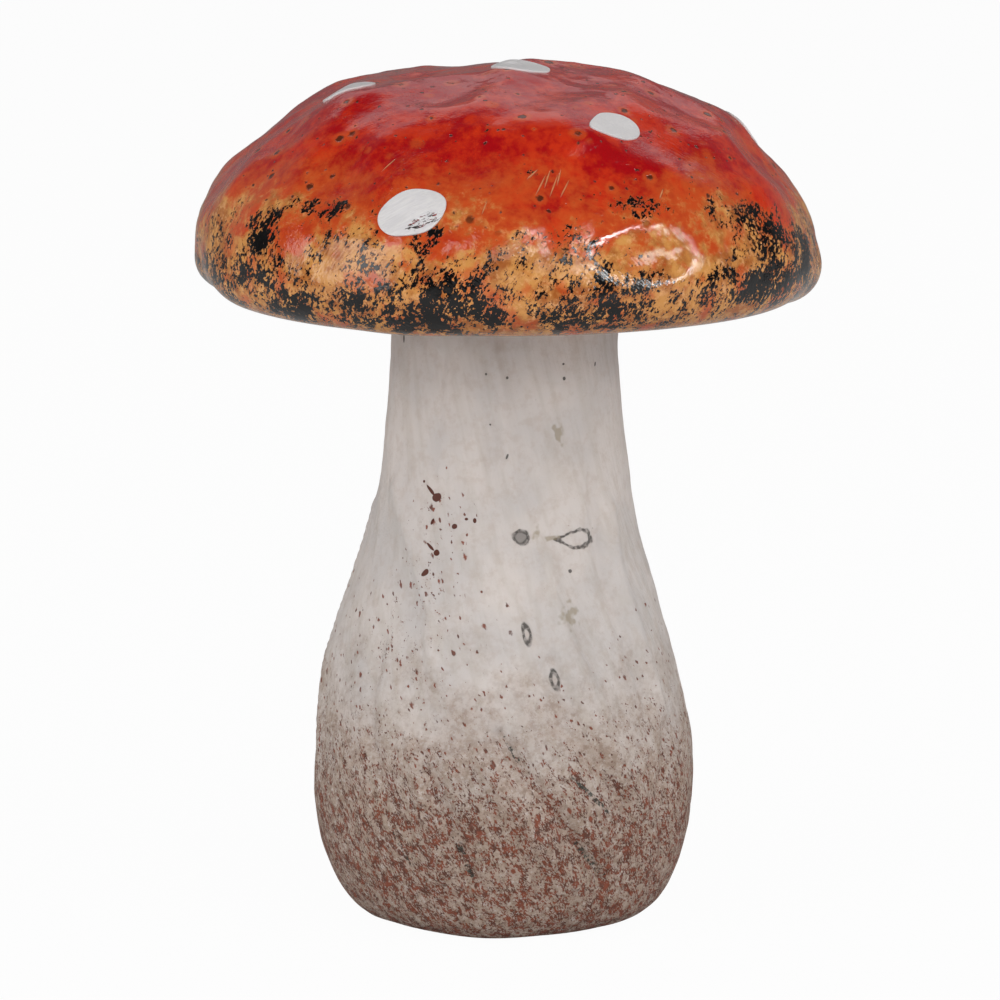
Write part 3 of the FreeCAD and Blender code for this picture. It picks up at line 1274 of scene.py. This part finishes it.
    def lay_mark(self, finish: Finish, mark: Mark, colour: Socket, relief: Socket
                 ) -> tuple[Socket, Socket]:
        """Lays one small mark over a colour and a relief.

        Args:
            finish: The finish that is built.
            mark: The mark.
            colour: Colour under it.
            relief: Relief under it, in millimetres.

        Returns:
            The colour and the relief with the mark.
        """
        graph = finish.graph
        distance = finish.patch(mark.azimuth, mark.height, mark.half_size, mark.turn, mark.taper)
        wobble = graph.fade(graph.noise(finish.place, 1.6, 1), 0.2, 0.8, -0.16, 0.16)
        distance = graph.plus(distance, wobble)
        inside = graph.fade(distance, 1.12, 0.92)
        if mark.kind in (MarkKind.EYELET, MarkKind.PLUG):
            gap = graph.maths("ABSOLUTE", graph.maths("SUBTRACT", distance, 1.0))
            ring = graph.fade(gap, self.ring_half_width / min(mark.half_size),
                              self.ring_core / min(mark.half_size))
            if mark.kind is MarkKind.PLUG:
                colour = graph.blend(inside, colour, self.filler)
            broken = graph.fade(graph.noise(finish.place, 0.9, 2), 0.35, 0.6, 0.42, 0.90)
            colour = graph.blend(graph.times(ring, broken), colour, self.ink)
            return colour, graph.plus(relief, graph.times(ring, -self.ring_depth))
        if mark.kind is MarkKind.SMEAR:
            ragged = graph.plus(distance, graph.times(wobble, 3.0))
            return graph.blend(graph.fade(ragged, 1.2, 0.4, 0, 0.6), colour, self.smear), relief
        if mark.kind is MarkKind.SPECK:
            return graph.blend(inside, colour, self.dark_clay), relief
        tint = self.ink
        if mark.kind is MarkKind.CRACK:
            broken = graph.group(finish.effects.flakes, place=finish.place, size=3.0,
                                 amount=0.55, edge=0.03)
            inside, tint = graph.times(inside, broken), self.moss
        colour = graph.blend(graph.times(inside, 0.85), colour, tint)
        return colour, graph.plus(relief, graph.times(inside, -self.mark_depth))


@dataclass(frozen=True)
class SpotEnamel:
    """White enamel, laid thick with a brush, scratched through in places, with painted shade in the
    grooves between its brush lines.
    """

    white: Colour = paint(211, 208, 207)
    # Painted shade: the greyer colour of the grooves between the brush lines.
    painted_groove_shade: Colour = paint(204, 201, 202)
    scratch: Colour = paint(140, 34, 34)
    dark_scratch: Colour = paint(42, 34, 32)
    bristle_spacing: float = 0.45
    gloss: Pair = (0.30, 0.42)
    ridge_rise: float = 0.10
    scratch_depth: float = 0.12

    def build(self, effects: Effects, name: str, scratches: tuple[Accent, ...],
              outline: Outline) -> Material:
        """Builds the material.

        Args:
            effects: The shared effects.
            name: Name of the material.
            scratches: Where the enamel is scratched; strength is the amount.
            outline: The cap's side, rising with height.

        Returns:
            The material.
        """
        finish = Finish(name, effects, outline)
        graph, place = finish.graph, finish.place
        lines = graph.group(effects.bristles, place=graph.turned(place, FRONT, 62),
                            spacing=self.bristle_spacing, length=7.0)
        # Grooves between the brush lines are painted greyer than the ridges, as painted shade.
        colour = graph.blend(graph.fade(lines, 0.35, 0.65), self.painted_groove_shade, self.white)
        amount = finish.add_accents(-0.6, scratches)
        along = graph.scaled(graph.turned(place, 252, -25), (0.35, 1.0, 1.6))
        worn = graph.group(effects.flakes, place=along, size=1.6, amount=amount, edge=0.03)
        tint = graph.fade(graph.noise(place, 1.5, 2), 0.45, 0.55)
        clay = graph.blend(tint, self.scratch, self.dark_scratch)
        finish.dress(graph.blend(worn, colour, clay), graph.fade(lines, 0.3, 0.7, *self.gloss))
        finish.relief(graph.plus(graph.times(lines, self.ridge_rise),
                                 graph.times(worn, -self.scratch_depth)))
        return finish.material


@dataclass(frozen=True)
class BondCement:
    """Dull cement with grains of sand."""

    body: Colour = paint(178, 168, 152)
    sand: Colour = paint(120, 110, 96)

    def build(self, effects: Effects) -> Material:
        """Builds the material.

        Args:
            effects: The shared effects.

        Returns:
            The material.
        """
        finish = Finish("bond_cement", effects)
        graph, place = finish.graph, finish.place
        grains = graph.group(effects.flecks, place=place, size=0.8, amount=0.4, radius=0.3)
        finish.dress(graph.blend(grains, self.body, self.sand), 0.9)
        finish.relief(graph.times(graph.noise(place, 0.6, 3), 0.15))
        return finish.material


@dataclass
class Cap:
    """The glazed cap: an outer skin worked by hand, its flat underside and its hollow."""

    segments: int = 112
    ring_spacing: float = 3.1 * MM
    roll_width: float = 9.0 * MM
    roll_height: float = 8.1 * MM
    roll_bands: int = 5
    curve_steps: int = 6
    wall: float = 5.0 * MM
    worked_fade: float = 6 * MM
    dome_fade: Pair = (12 * MM, 26 * MM)
    dent_spacing: float = 19
    dent_rise: float = 2.7
    dent_softening: int = 16
    grains: tuple[tuple[str, float, float], ...] = (("patted", 13, 0.9), ("brushed", 3.6, 0.22))
    sharp_angle: float = 40
    socket_edge_shares: tuple[float, ...] = (0.82, 0.64, 0.46, 0.36)
    hollow_shares: tuple[float, ...] = (0.84, 0.74, 0.62, 0.50, 0.38, 0.26, 0.14, 0.04)
    side_wall_shares: Pair = (1.6, 0.2)
    roof_wall_share: float = 1.25
    roof_drop_share: float = 0.75
    dome_shares: tuple[Pair, ...] = (
        (0.02, 1.001), (0.10, 1.000), (0.27, 0.984), (0.45, 0.940), (0.65, 0.818),
        (0.80, 0.612), (0.91, 0.425), (0.98, 0.203), (1.00, 0.000),
    )
    presses: tuple[Press, ...] = (
        Press(226, 0.44, 15, -1.5), Press(246, 0.30, 14, -1.2), Press(262, 0.50, 15, -1.3),
        Press(276, 0.52, 12, -0.9), Press(312, 0.46, 15, -1.5),
        Press(335, 0.42, 14, -1.2), Press(350, 0.62, 15, -1.7),
        Press(205, 0.56, 15, -1.5), Press(232, 0.60, 13, -0.9), Press(284, 0.25, 14, -1.1),
        Press(310, 0.22, 12, -0.9), Press(250, 0.12, 12, -0.8), Press(196, 0.20, 12, -0.9),
        Press(298, 0.79, 19, 0.7), Press(243, 0.78, 17, 1.3),
        Press(216, 0.72, 12, 0.9), Press(268, 0.74, 12, 0.7), Press(333, 0.79, 12, 0.9),
        Press(282, 0.42, 11, 0.9), Press(300, 0.32, 11, 0.7), Press(238, 0.47, 8, 0.8),
        Press(264, 0.30, 9, 0.7), Press(328, 0.52, 10, 0.8), Press(210, 0.40, 12, 0.8),
        Press(345, 0.22, 12, 0.8), Press(0, 0.50, 12, 0.8), Press(184, 0.72, 14, 0.8),
        Press(183, 0.49, 17, -1.5), Press(184, 0.66, 16, -1.3), Press(357, 0.91, 12, 0.9),
        Press(186, 0.89, 10, 0.8),
        Press(12, 0.36, 14, -1.2), Press(30, 0.55, 15, -1.4), Press(48, 0.30, 14, -1.1),
        Press(66, 0.60, 15, -1.3), Press(84, 0.42, 14, -1.2), Press(104, 0.62, 15, -1.3),
        Press(122, 0.36, 14, -1.2), Press(140, 0.50, 14, -1.1), Press(160, 0.62, 15, -1.4),
        Press(172, 0.36, 14, -1.2), Press(70, 0.14, 12, -0.8), Press(140, 0.16, 12, -0.8),
        Press(20, 0.78, 17, 1.3), Press(52, 0.76, 15, 1.1), Press(88, 0.80, 17, 1.3),
        Press(126, 0.77, 16, 1.2), Press(160, 0.80, 14, 0.9),
        Press(0, 0.94, 16, 0.9), Press(190, 0.94, 18, -1.2), Press(250, 0.95, 14, 0.5),
    )
    leans: tuple[Lean, ...] = (Lean(0, 0.85, 70, 0.8), Lean(180, 0.85, 70, -0.6))
    bulge: Pair = (298.0, 147.5)
    bulge_reach: float = 22
    radius: float = field(init=False)
    underside: float = field(init=False)
    crown: float = field(init=False)
    socket: float = field(init=False)
    outline: Outline = field(init=False)
    side: Outline = field(init=False)

    def __post_init__(self) -> None:
        """Reads the cap's size from the frame and works out its outline."""
        low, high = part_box("cap_shell")
        self.radius = (high.x - low.x) / 2
        self.underside, self.crown = low.z, high.z
        self.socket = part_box("bond_ring")[1].x
        widest = self.underside + self.roll_height
        dome = smoothed([(r * self.radius, widest + z * (self.crown - widest))
                         for r, z in self.dome_shares], self.curve_steps)
        for i in range(1, self.roll_bands + 1):
            angle = math.pi / 2 * i / self.roll_bands
            dome.append((self.radius - self.roll_width * (1 - math.cos(angle)),
                         widest - self.roll_height * math.sin(angle)))
        self.outline = Outline(dome)
        self.side = Outline(dome[::-1])

    def build(self) -> Object:
        """Models the cap.

        Returns:
            The finished piece.
        """
        edge = self.radius - self.roll_width
        floor = [(edge * share, self.underside) for share in self.socket_edge_shares]
        rings = [(self.socket, self.underside), *floor[::-1], *self.side.evened(self.ring_spacing)]
        piece = turned_skin("cap_glazed", rings, self.segments)
        extend(piece, rings[-1], [], closed=True)
        face_outwards(piece)
        press_clay(piece, self.outline, self.presses)
        for lean in self.leans:
            place = around(lean.azimuth, self.outline.along(lean.share))
            nearest = min(piece.data.vertices, key=lambda vertex: (vertex.co - place).length)
            drag(piece, nearest.index, Vector((0, 0, -lean.drop * MM)), lean.reach)
        refine(piece, 2)
        self.roughen_skin(piece)
        self.hollow(piece)
        smooth_shaded(piece, self.sharp_angle)
        return piece

    def roughen_skin(self, piece: Object) -> None:
        """Dents and roughens the skin, but leaves the bulge of the ring highlight calm.

        Args:
            piece: The outer skin.
        """
        lowest = self.underside + MM
        weigh(piece, "worked", (lowest, lowest + self.worked_fade))
        weigh(piece, "dome", tuple(self.underside + height for height in self.dome_fade))
        bulge = around(self.bulge[0], self.side.level(self.bulge[1] * MM))
        for name in ("worked", "dome"):
            calm(piece, name, bulge, self.bulge_reach)
        dent(piece, "thumbed", self.dent_spacing, self.dent_rise, self.dent_softening, "dome")
        for name, grain, rise in self.grains:
            roughen(piece, name, grain, rise, "worked")

    def hollow(self, piece: Object) -> None:
        """Adds the socket's wall and the skin of the hollow, up to the inner crown.

        Args:
            piece: The outer skin.
        """
        floor = self.underside + self.wall
        inner = [(self.socket, floor), (self.radius - self.roll_width - self.wall, floor)]
        most, least = self.side_wall_shares
        for share in self.hollow_shares:
            radius, height = self.outline.along(share)
            slope = 1 - share * self.roof_drop_share
            inner.append((radius - self.wall * most * (1 - slope) - self.wall * least,
                          height - self.wall * self.roof_wall_share * slope))
        extend(piece, (self.socket, self.underside), inner, closed=True)
        face_outwards(piece)


@dataclass
class Stem:
    """The slip-washed stem: a bellied wall worked by hand, spigot, foot ring and hollow."""

    segments: int = 96
    ring_spacing: float = 3.4 * MM
    neck_radius: float = 23.7 * MM
    foot_radius: float = 30.5 * MM
    wall: float = 5.0 * MM
    floor: float = 6.0 * MM
    recess_radius: float = 21.0 * MM
    recess_depth: float = 1.5 * MM
    vent_radius: float = 6.0 * MM
    throat_radius: float = 12.9 * MM
    cement: float = 0.8 * MM
    bevel: float = 1.2 * MM
    curve_steps: int = 5
    stroke_steps: int = 24
    foot_fade: Pair = (0.5 * MM, 5 * MM)
    neck_fade: float = 6 * MM
    ring_reach: float = 3 * MM
    grains: tuple[tuple[str, float, float], ...] = (("smoothed", 11, 0.7), ("wiped", 3.4, 0.16))
    sharp_angle: float = 40
    hollow_shares: tuple[float, ...] = (0.85, 0.70, 0.56, 0.42, 0.28, 0.14)
    foot_shares: tuple[Pair, ...] = ((0.000, 0.000), (0.030, 0.450), (0.100, 0.775), (0.215, 1.000))
    neck_shares: tuple[Pair, ...] = (
        (0.350, 0.885), (0.500, 0.580), (0.600, 0.345), (0.700, 0.170), (0.800, 0.065),
        (0.920, 0.000), (1.000, 0.000),
    )
    presses: tuple[Press, ...] = (
        Press(186, 0.13, 26, 0.9), Press(183, 0.42, 24, 0.9), Press(0, 0.46, 26, -0.8),
        Press(355, 0.62, 22, -0.6), Press(180, 0.02, 16, -1.0), Press(2, 0.03, 14, -0.7),
        Press(262, 0.03, 14, 0.5), Press(300, 0.04, 12, -0.5), Press(225, 0.04, 12, -0.4),
        Press(250, 0.30, 14, 0.6), Press(290, 0.26, 12, 0.5), Press(318, 0.22, 14, -0.5),
        Press(270, 0.20, 10, -0.5), Press(232, 0.50, 14, -0.6), Press(305, 0.52, 14, -0.5),
        Press(280, 0.68, 12, 0.4), Press(245, 0.74, 12, -0.4), Press(30, 0.25, 20, 0.8),
        Press(70, 0.15, 22, -0.7), Press(110, 0.28, 20, 0.7), Press(150, 0.12, 18, -0.6),
        Press(60, 0.50, 18, -0.7), Press(120, 0.56, 18, 0.6), Press(90, 0.78, 14, -0.4),
    )
    passes: tuple[Pair, ...] = ((0.75, 0.8), (0.36, 1.2))
    strokes: tuple[Stroke, ...] = (
        Stroke(((266, 122), (270, 106), (273, 95), (286, 80), (293, 63), (303, 48)), 6, 0.55),
        Stroke(((262, 106), (264, 92), (277, 76), (284, 60)), 7, -0.45),
        Stroke(((289, 62), (301, 45), (317, 27)), 7, 0.6),
        Stroke(((281, 58), (292, 44), (308, 28)), 6, -0.55),
        Stroke(((268, 45), (282, 32), (303, 12)), 5, -0.7),
        Stroke(((262, 40), (276, 27), (292, 12)), 6, 0.5),
        Stroke(((247, 37), (255, 25), (261, 13)), 5, -0.6),
        Stroke(((240, 42), (246, 28), (251, 14)), 6, 0.45),
        Stroke(((211, 92), (228, 81), (241, 69), (246, 56)), 6, 0.45),
        Stroke(((314, 95), (312, 78), (316, 62), (322, 48)), 6, -0.5),
        Stroke(((324, 88), (322, 74), (325, 61), (330, 44)), 6, 0.45),
        Stroke(((221, 62), (223, 45), (232, 30)), 6, -0.5),
        Stroke(((236, 120), (235, 107), (232, 97)), 6, -0.35),
        Stroke(((330, 44), (324, 28), (330, 14)), 6, -0.45),
        Stroke(((20, 110), (28, 84), (44, 56)), 8, 0.5),
        Stroke(((52, 96), (60, 66), (78, 38)), 8, -0.5),
        Stroke(((92, 104), (104, 70), (120, 40)), 8, 0.5),
        Stroke(((136, 92), (150, 60), (166, 32)), 8, -0.5),
        Stroke(((172, 84), (184, 52), (196, 28)), 8, 0.4),
    )

    belly_radius: float = field(init=False)
    shoulder: float = field(init=False)
    top: float = field(init=False)
    spigot: float = field(init=False)
    outline: Outline = field(init=False)

    def __post_init__(self) -> None:
        """Reads the stem's size from the frame and works out its outline."""
        low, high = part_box("stem_shell")
        self.belly_radius = (high.x - low.x) / 2
        self.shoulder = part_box("cap_shell")[0].z
        self.top = high.z
        self.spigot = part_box("bond_ring")[1].x - self.cement
        points = []
        for end, shares in ((self.foot_radius, self.foot_shares),
                            (self.neck_radius, self.neck_shares)):
            for height, radius in shares:
                points.append((end + (self.belly_radius - end) * radius,
                               self.shoulder * height))
        self.outline = Outline(smoothed(points, self.curve_steps))

    def build(self) -> Object:
        """Models the stem.

        Returns:
            The finished piece.
        """
        rings = self.outline.evened(self.ring_spacing)
        piece = turned_skin("stem_slipped", rings, self.segments)
        face_outwards(piece)
        press_clay(piece, self.outline, self.presses)
        refine(piece, 2)
        for stroke in self.strokes:
            for width, depth in self.passes:
                work_clay(piece, self.stroke_places(stroke), stroke.reach * width,
                          stroke.rise * depth)
        weigh(piece, "worked", self.foot_fade, (self.shoulder - self.neck_fade, self.shoulder))
        for name, grain, rise in self.grains:
            roughen(piece, name, grain, rise, "worked")
        self.true_ring(piece, 0.0, self.foot_radius - MM)
        self.true_ring(piece, self.shoulder, self.neck_radius)
        self.hollow(piece)
        smooth_shaded(piece, self.sharp_angle)
        return piece

    def stroke_places(self, stroke: Stroke) -> list[Vector]:
        """Points close together along a stroke, on the stem's outline.

        Args:
            stroke: The stroke.

        Returns:
            The points, in metres.
        """
        places = []
        for (a0, z0), (a1, z1) in zip(stroke.places, stroke.places[1:]):
            for k in range(self.stroke_steps):
                share = k / self.stroke_steps
                height = z0 + (z1 - z0) * share
                azimuth = a0 + (a1 - a0) * share
                places.append(around(azimuth, self.outline.level(height * MM)))
        return places

    def true_ring(self, piece: Object, height: float, radius: float) -> None:
        """Sets the open ring near a height to a true circle.

        Args:
            piece: The skin.
            height: Height of the circle, in metres.
            radius: Radius of the circle, in metres.
        """
        mesh = bmesh.new()
        mesh.from_mesh(piece.data)
        for edge in mesh.edges:
            if edge.is_boundary and abs(edge.verts[0].co.z - height) < self.ring_reach:
                for vertex in edge.verts:
                    angle = math.atan2(vertex.co.y, vertex.co.x)
                    vertex.co = around(math.degrees(angle), (radius, height))
        mesh.to_mesh(piece.data)
        mesh.free()

    def hollow(self, piece: Object) -> None:
        """Adds the shoulder, the spigot, the inner wall and the vented foot.

        Args:
            piece: The outer skin.
        """
        roof = self.shoulder - self.wall
        inside = [
            (self.spigot, self.shoulder), (self.spigot, self.top - self.bevel),
            (self.spigot - self.bevel, self.top), (self.throat_radius, self.top),
            (self.throat_radius, roof), (self.neck_radius - self.wall, roof - self.wall),
        ]
        for share in self.hollow_shares:
            radius, height = self.outline.along(share)
            inside.append((radius - self.wall, height))
        inside.append((self.foot_radius - self.wall, self.floor))
        inside.append((self.vent_radius, self.floor))
        extend(piece, (self.neck_radius, self.shoulder), inside)
        extend(piece, (self.foot_radius - MM, 0.0),
               [(self.recess_radius, 0.0), (self.recess_radius, self.recess_depth),
                (self.vent_radius, self.recess_depth)])
        with EditMode(piece, Element.EDGE):
            bpy.ops.mesh.select_non_manifold()
            bpy.ops.mesh.bridge_edge_loops()
        face_outwards(piece)


@dataclass(frozen=True)
class Dab:
    """One dab of enamel on the cap.

    Args:
        node: The CAD node that it stands for.
        azimuth: Azimuth of its middle, in degrees.
        share: Share of the way down the cap's outline.
        size: Length and width, in millimetres.
        turn: Turn of the long axis from level, in degrees.
        tugs: Places of its edge that the brush dragged: angle in degrees and distance
            in millimetres, outward positive.
    """

    node: str
    azimuth: float
    share: float
    size: Pair
    turn: float
    tugs: tuple[Pair, ...]


@dataclass
class Spots:
    """The dabs of enamel, each laid on the finished cap.

    Args:
        cap: The cap.
        surface: The cap's finished piece.
    """

    cap: Cap
    surface: Object
    corners: int = 48
    thickness: float = 0.55 * MM
    tug_reach: float = 5.5
    slope_share: float = 0.03
    sharp_angle: float = 60
    inset_shares: tuple[float, ...] = (0.05, 0.07, 0.14, 0.2)
    scratched_node: str = "spot_front_left"
    scratch: Accent = Accent(254.5, 153.8, 7.0, 2.6, 1.15, -25)
    dabs: tuple[Dab, ...] = (
        Dab("spot_crown", 288, 0.085, (12.4, 9.6), 0, ((20, 0.5), (200, -0.6))),
        Dab("spot_front_left", 252, 0.678, (13.4, 10.4), 25, ((10, 0.5), (150, 0.4), (260, -0.4))),
        Dab("spot_front_right", 301.3, 0.444, (11.8, 8.6), 8, ((180, 1.2), (125, -0.5), (235, -0.5))),
        Dab("spot_left", 201, 0.345, (11.4, 9.8), 80, ((60, 0.5), (240, -0.5))),
        Dab("spot_right", 7, 0.535, (10.0, 9.0), 80, ((100, 0.5), (300, -0.5))),
        Dab("spot_back_right", 52, 0.584, (13.4, 10.2), 15, ((30, 0.7), (190, 0.5))),
        Dab("spot_back", 98, 0.376, (12.2, 9.6), -10, ((0, 1.0), (120, -0.5))),
        Dab("spot_back_left", 148, 0.622, (13.4, 10.6), 25, ((80, -0.6), (200, 0.8))),
    )

    def build(self, dab: Dab) -> Object:
        """Models one dab.

        Args:
            dab: The dab.

        Returns:
            The finished piece.
        """
        bpy.ops.object.select_all(action="DESELECT")
        bpy.ops.mesh.primitive_circle_add(vertices=self.corners, radius=0.5 * MM,
                                          fill_type="NGON")
        piece = bpy.context.object
        piece.name = dab.node.replace("spot", "enamel")
        with EditMode(piece, Element.FACE):
            bpy.ops.mesh.select_all(action="SELECT")
            bpy.ops.transform.resize(value=(dab.size[0], dab.size[1], 1),
                                     center_override=(0, 0, 0))
        self.tug_edge(piece, dab)
        with EditMode(piece, Element.FACE):
            bpy.ops.mesh.select_all(action="SELECT")
            for share in self.inset_shares:
                bpy.ops.mesh.inset(thickness=share * dab.size[1] * MM / 2)
            bpy.ops.mesh.poke()
        self.lay(piece, dab)
        return piece

    def tug_edge(self, piece: Object, dab: Dab) -> None:
        """Drags the dab's edge in or out, as the brush did.

        Args:
            piece: The flat dab.
            dab: What it is to be.
        """
        for angle, distance in dab.tugs:
            way = Vector((math.cos(math.radians(angle)), math.sin(math.radians(angle)), 0))
            nearest = max(piece.data.vertices, key=lambda vertex: vertex.co.dot(way))
            drag(piece, nearest.index, way * distance * MM, self.tug_reach)

    def lay(self, piece: Object, dab: Dab) -> None:
        """Lays the flat dab on the cap and gives it its thickness.

        Args:
            piece: The flat dab.
            dab: Where it lies and how it is turned.
        """
        outline = self.cap.outline
        place = around(dab.azimuth, outline.along(dab.share))
        ahead = around(dab.azimuth, outline.along(dab.share + self.slope_share))
        down = (ahead - place).normalized()
        level = Vector((0, 0, 1)).cross(place).normalized()
        normal = level.cross(down)
        if normal.z < 0:
            normal.negate()
        turn = normal.to_track_quat("Z", "X").to_matrix()
        first = turn.col[0]
        angle = math.atan2(normal.dot(first.cross(level)), first.dot(level))
        spin = Euler((0, 0, angle + math.radians(dab.turn))).to_matrix()
        piece.rotation_euler = (turn @ spin).to_euler()
        piece.location = place
        bpy.context.view_layer.update()
        finish_with(piece, "SHRINKWRAP", target=self.surface, wrap_method="PROJECT",
                    use_project_z=True, use_positive_direction=True,
                    use_negative_direction=True)
        finish_with(piece, "SOLIDIFY", thickness=self.thickness, offset=0.5)
        refine(piece, 2)
        bpy.ops.object.transform_apply(location=True, rotation=True, scale=True)
        face_outwards(piece)
        smooth_shaded(piece, self.sharp_angle)


@dataclass(frozen=True)
class SoftBox:
    """A soft lamp that faces the cap.

    Args:
        name: Its name.
        place: Where it hangs, in metres.
        size: Its width and height, in metres.
        power: Its power, in watts.
    """

    name: str
    place: tuple[float, float, float] | Vector
    size: Pair
    power: float


@dataclass
class Studio:
    """Pale floor, soft lights, white surroundings and the camera."""

    floor_size: float = 12.0
    floor_drop: float = 0.2 * MM
    floor_paint: Colour = paint(206, 206, 206)
    floor_roughness: float = 0.9
    floor_glow: float = 0.965
    white: Colour = paint(255, 255, 255)
    camera_place: tuple[float, float, float] = (0.0, -1.050, 0.290)
    camera_aim: tuple[float, float, float] = (0.0, 0.0, 0.090)
    lens: float = 183.0
    sensor_width: float = 36.0
    shift: Pair = (-0.005, -0.015)
    room_light: float = 0.30
    room_glow: float = 0.06
    back_glow: float = 0.20
    back_edge: Pair = (0.30, 0.48)
    left: SoftBox = SoftBox("left_softbox", (-0.90, -0.60, 0.50), (0.85, 0.90), 7.4)
    rear: SoftBox = SoftBox("rear_softbox", (0.0, 0.90, 0.95), (1.2, 0.6), 1.3)
    fill: SoftBox = SoftBox("front_fill", (0.10, -2.10, 0.90), (1.3, 0.7), 6.0)
    ring_way: tuple[float, float, float] = (0.748, -0.524, 0.407)
    ring_distance: float = 1.15
    ring_radius: float = 0.52
    ring_tubes: int = 16
    tube_width: float = 0.020
    tube_power: float = 0.42
    ring_panes: tuple[tuple[float, ...], ...] = (
        (-0.10, -0.02, 0.20, 0.20, 0.85), (0.06, 0.05, 0.16, 0.13, 0.42),
        (0.20, -0.03, 0.13, 0.15, 0.40), (0.30, 0.04, 0.07, 0.09, 0.15),
    )

    def build(self) -> None:
        """Sets up the whole studio."""
        bpy.context.scene.view_settings.view_transform = "Standard"
        self.lay_floor()
        self.surround()
        self.light(self.left)
        self.ring_light()
        self.light(self.rear)
        self.light(self.fill)
        self.stand_camera()

    def lay_floor(self) -> None:
        """Lays the floor, which the camera sees nearly white, with the soft shadow kept."""
        bpy.ops.mesh.primitive_plane_add(size=self.floor_size, location=(0, 0, -self.floor_drop))
        floor = bpy.context.object
        floor.name = "studio_floor"
        material = bpy.data.materials.new("studio_floor")
        material.use_nodes = True
        graph = Graph(material.node_tree)
        shader = material.node_tree.nodes["Principled BSDF"]
        shader.inputs["Base Color"].default_value = self.floor_paint
        shader.inputs["Roughness"].default_value = self.floor_roughness
        shader.inputs["Specular IOR Level"].default_value = 0.0
        glow = graph.node("ShaderNodeEmission", {"Color": self.white})
        path = graph.node("ShaderNodeLightPath")
        share = graph.times(path.outputs["Is Camera Ray"], self.floor_glow)
        mix = graph.node("ShaderNodeMixShader", {0: share, 1: shader.outputs[0], 2: glow.outputs[0]})
        output = material.node_tree.nodes["Material Output"]
        graph.feed(output.inputs["Surface"], mix.outputs[0])
        floor.data.materials.append(material)

    def surround(self) -> None:
        """Makes the surroundings white to the camera, and a dim room in the light.

        Reflections see the dim room, and a paler wall behind the object.
        """
        world = bpy.data.worlds.new("studio")
        world.use_nodes = True
        bpy.context.scene.world = world
        graph = Graph(world.node_tree)
        path = graph.node("ShaderNodeLightPath")
        seen = graph.larger(path.outputs["Is Camera Ray"], path.outputs["Is Transmission Ray"])
        way = graph.node("ShaderNodeSeparateXYZ", {
            0: graph.node("ShaderNodeTexCoord").outputs["Generated"]})
        behind = graph.fade(way.outputs["Y"], *self.back_edge, self.room_glow, self.back_glow)
        light = graph.between(path.outputs["Is Glossy Ray"], self.room_light, behind)
        background = world.node_tree.nodes["Background"]
        background.inputs["Color"].default_value = self.white
        graph.feed(background.inputs["Strength"], graph.between(seen, light, 1.0))

    def ring_light(self) -> None:
        """Hangs a ring of tubes with small panes inside it, to the right of the camera."""
        aim = Vector(self.camera_aim)
        middle = Vector(self.ring_way) * self.ring_distance + aim
        across = Vector((0, 0, 1)).cross(middle - aim).normalized()
        upward = (middle - aim).cross(across).normalized()
        length = 2 * math.pi * self.ring_radius / self.ring_tubes
        for i in range(self.ring_tubes):
            angle = 2 * math.pi * i / self.ring_tubes
            out = across * math.cos(angle) + upward * math.sin(angle)
            lamp = self.light(SoftBox(f"ring_tube_{i + 1}", middle + out * self.ring_radius,
                                      (length, self.tube_width), self.tube_power))
            lamp.rotation_euler.rotate_axis("Z", angle + math.pi / 2)
        for i, (right, up, width, height, power) in enumerate(self.ring_panes):
            self.light(SoftBox(f"ring_pane_{i + 1}", middle + across * right + upward * up,
                               (width, height), power))

    def light(self, box: SoftBox) -> Object:
        """Hangs a lamp.

        Args:
            box: The lamp to hang.

        Returns:
            The lamp's object.
        """
        lamp = bpy.data.lights.new(box.name, "AREA")
        lamp.shape = "RECTANGLE"
        lamp.size, lamp.size_y = box.size
        lamp.energy = box.power
        return self.stand(box.name, lamp, box.place)

    def stand_camera(self) -> None:
        """Stands the camera at the photograph's viewing angle."""
        camera = bpy.data.cameras.new("camera")
        camera.lens = self.lens
        camera.sensor_width = self.sensor_width
        camera.shift_x, camera.shift_y = self.shift
        camera.dof.use_dof = False
        bpy.context.scene.camera = self.stand("camera", camera, self.camera_place)

    def stand(self, name: str, data: bpy.types.ID, place: tuple[float, ...] | Vector) -> Object:
        """Stands a lamp or the camera at a place, facing the ornament.

        Args:
            name: Name of its object.
            data: The lamp or the camera.
            place: Where it stands, in metres.

        Returns:
            Its object.
        """
        holder = bpy.data.objects.new(name, data)
        bpy.context.scene.collection.objects.link(holder)
        holder.location = place
        aim = Vector(self.camera_aim) - Vector(place)
        holder.rotation_euler = aim.to_track_quat("-Z", "Y").to_euler()
        return holder


def main() -> None:
    """Builds and dresses the ornament."""
    logging.basicConfig(level=logging.INFO, format="%(name)s: %(message)s")
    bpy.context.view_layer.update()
    effects = Effects()
    cap = Cap()
    dome = cap.build()
    settle(dome, CapGlaze().build(effects, cap.side), "cap_shell")
    stem = Stem()
    settle(stem.build(), StemSlip().build(effects, stem.outline), "stem_shell")
    spots = Spots(cap, dome)
    plain = SpotEnamel().build(effects, "spot_enamel", (), cap.side)
    scratched = SpotEnamel().build(effects, "spot_enamel_scratched", (spots.scratch,), cap.side)
    for dab in spots.dabs:
        enamel = scratched if dab.node == spots.scratched_node else plain
        settle(spots.build(dab), enamel, dab.node)
    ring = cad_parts["bond_ring"]
    ring.data.materials.clear()
    ring.data.materials.append(BondCement().build(effects))
    Studio().build()


if __name__ == "__main__":
    main()
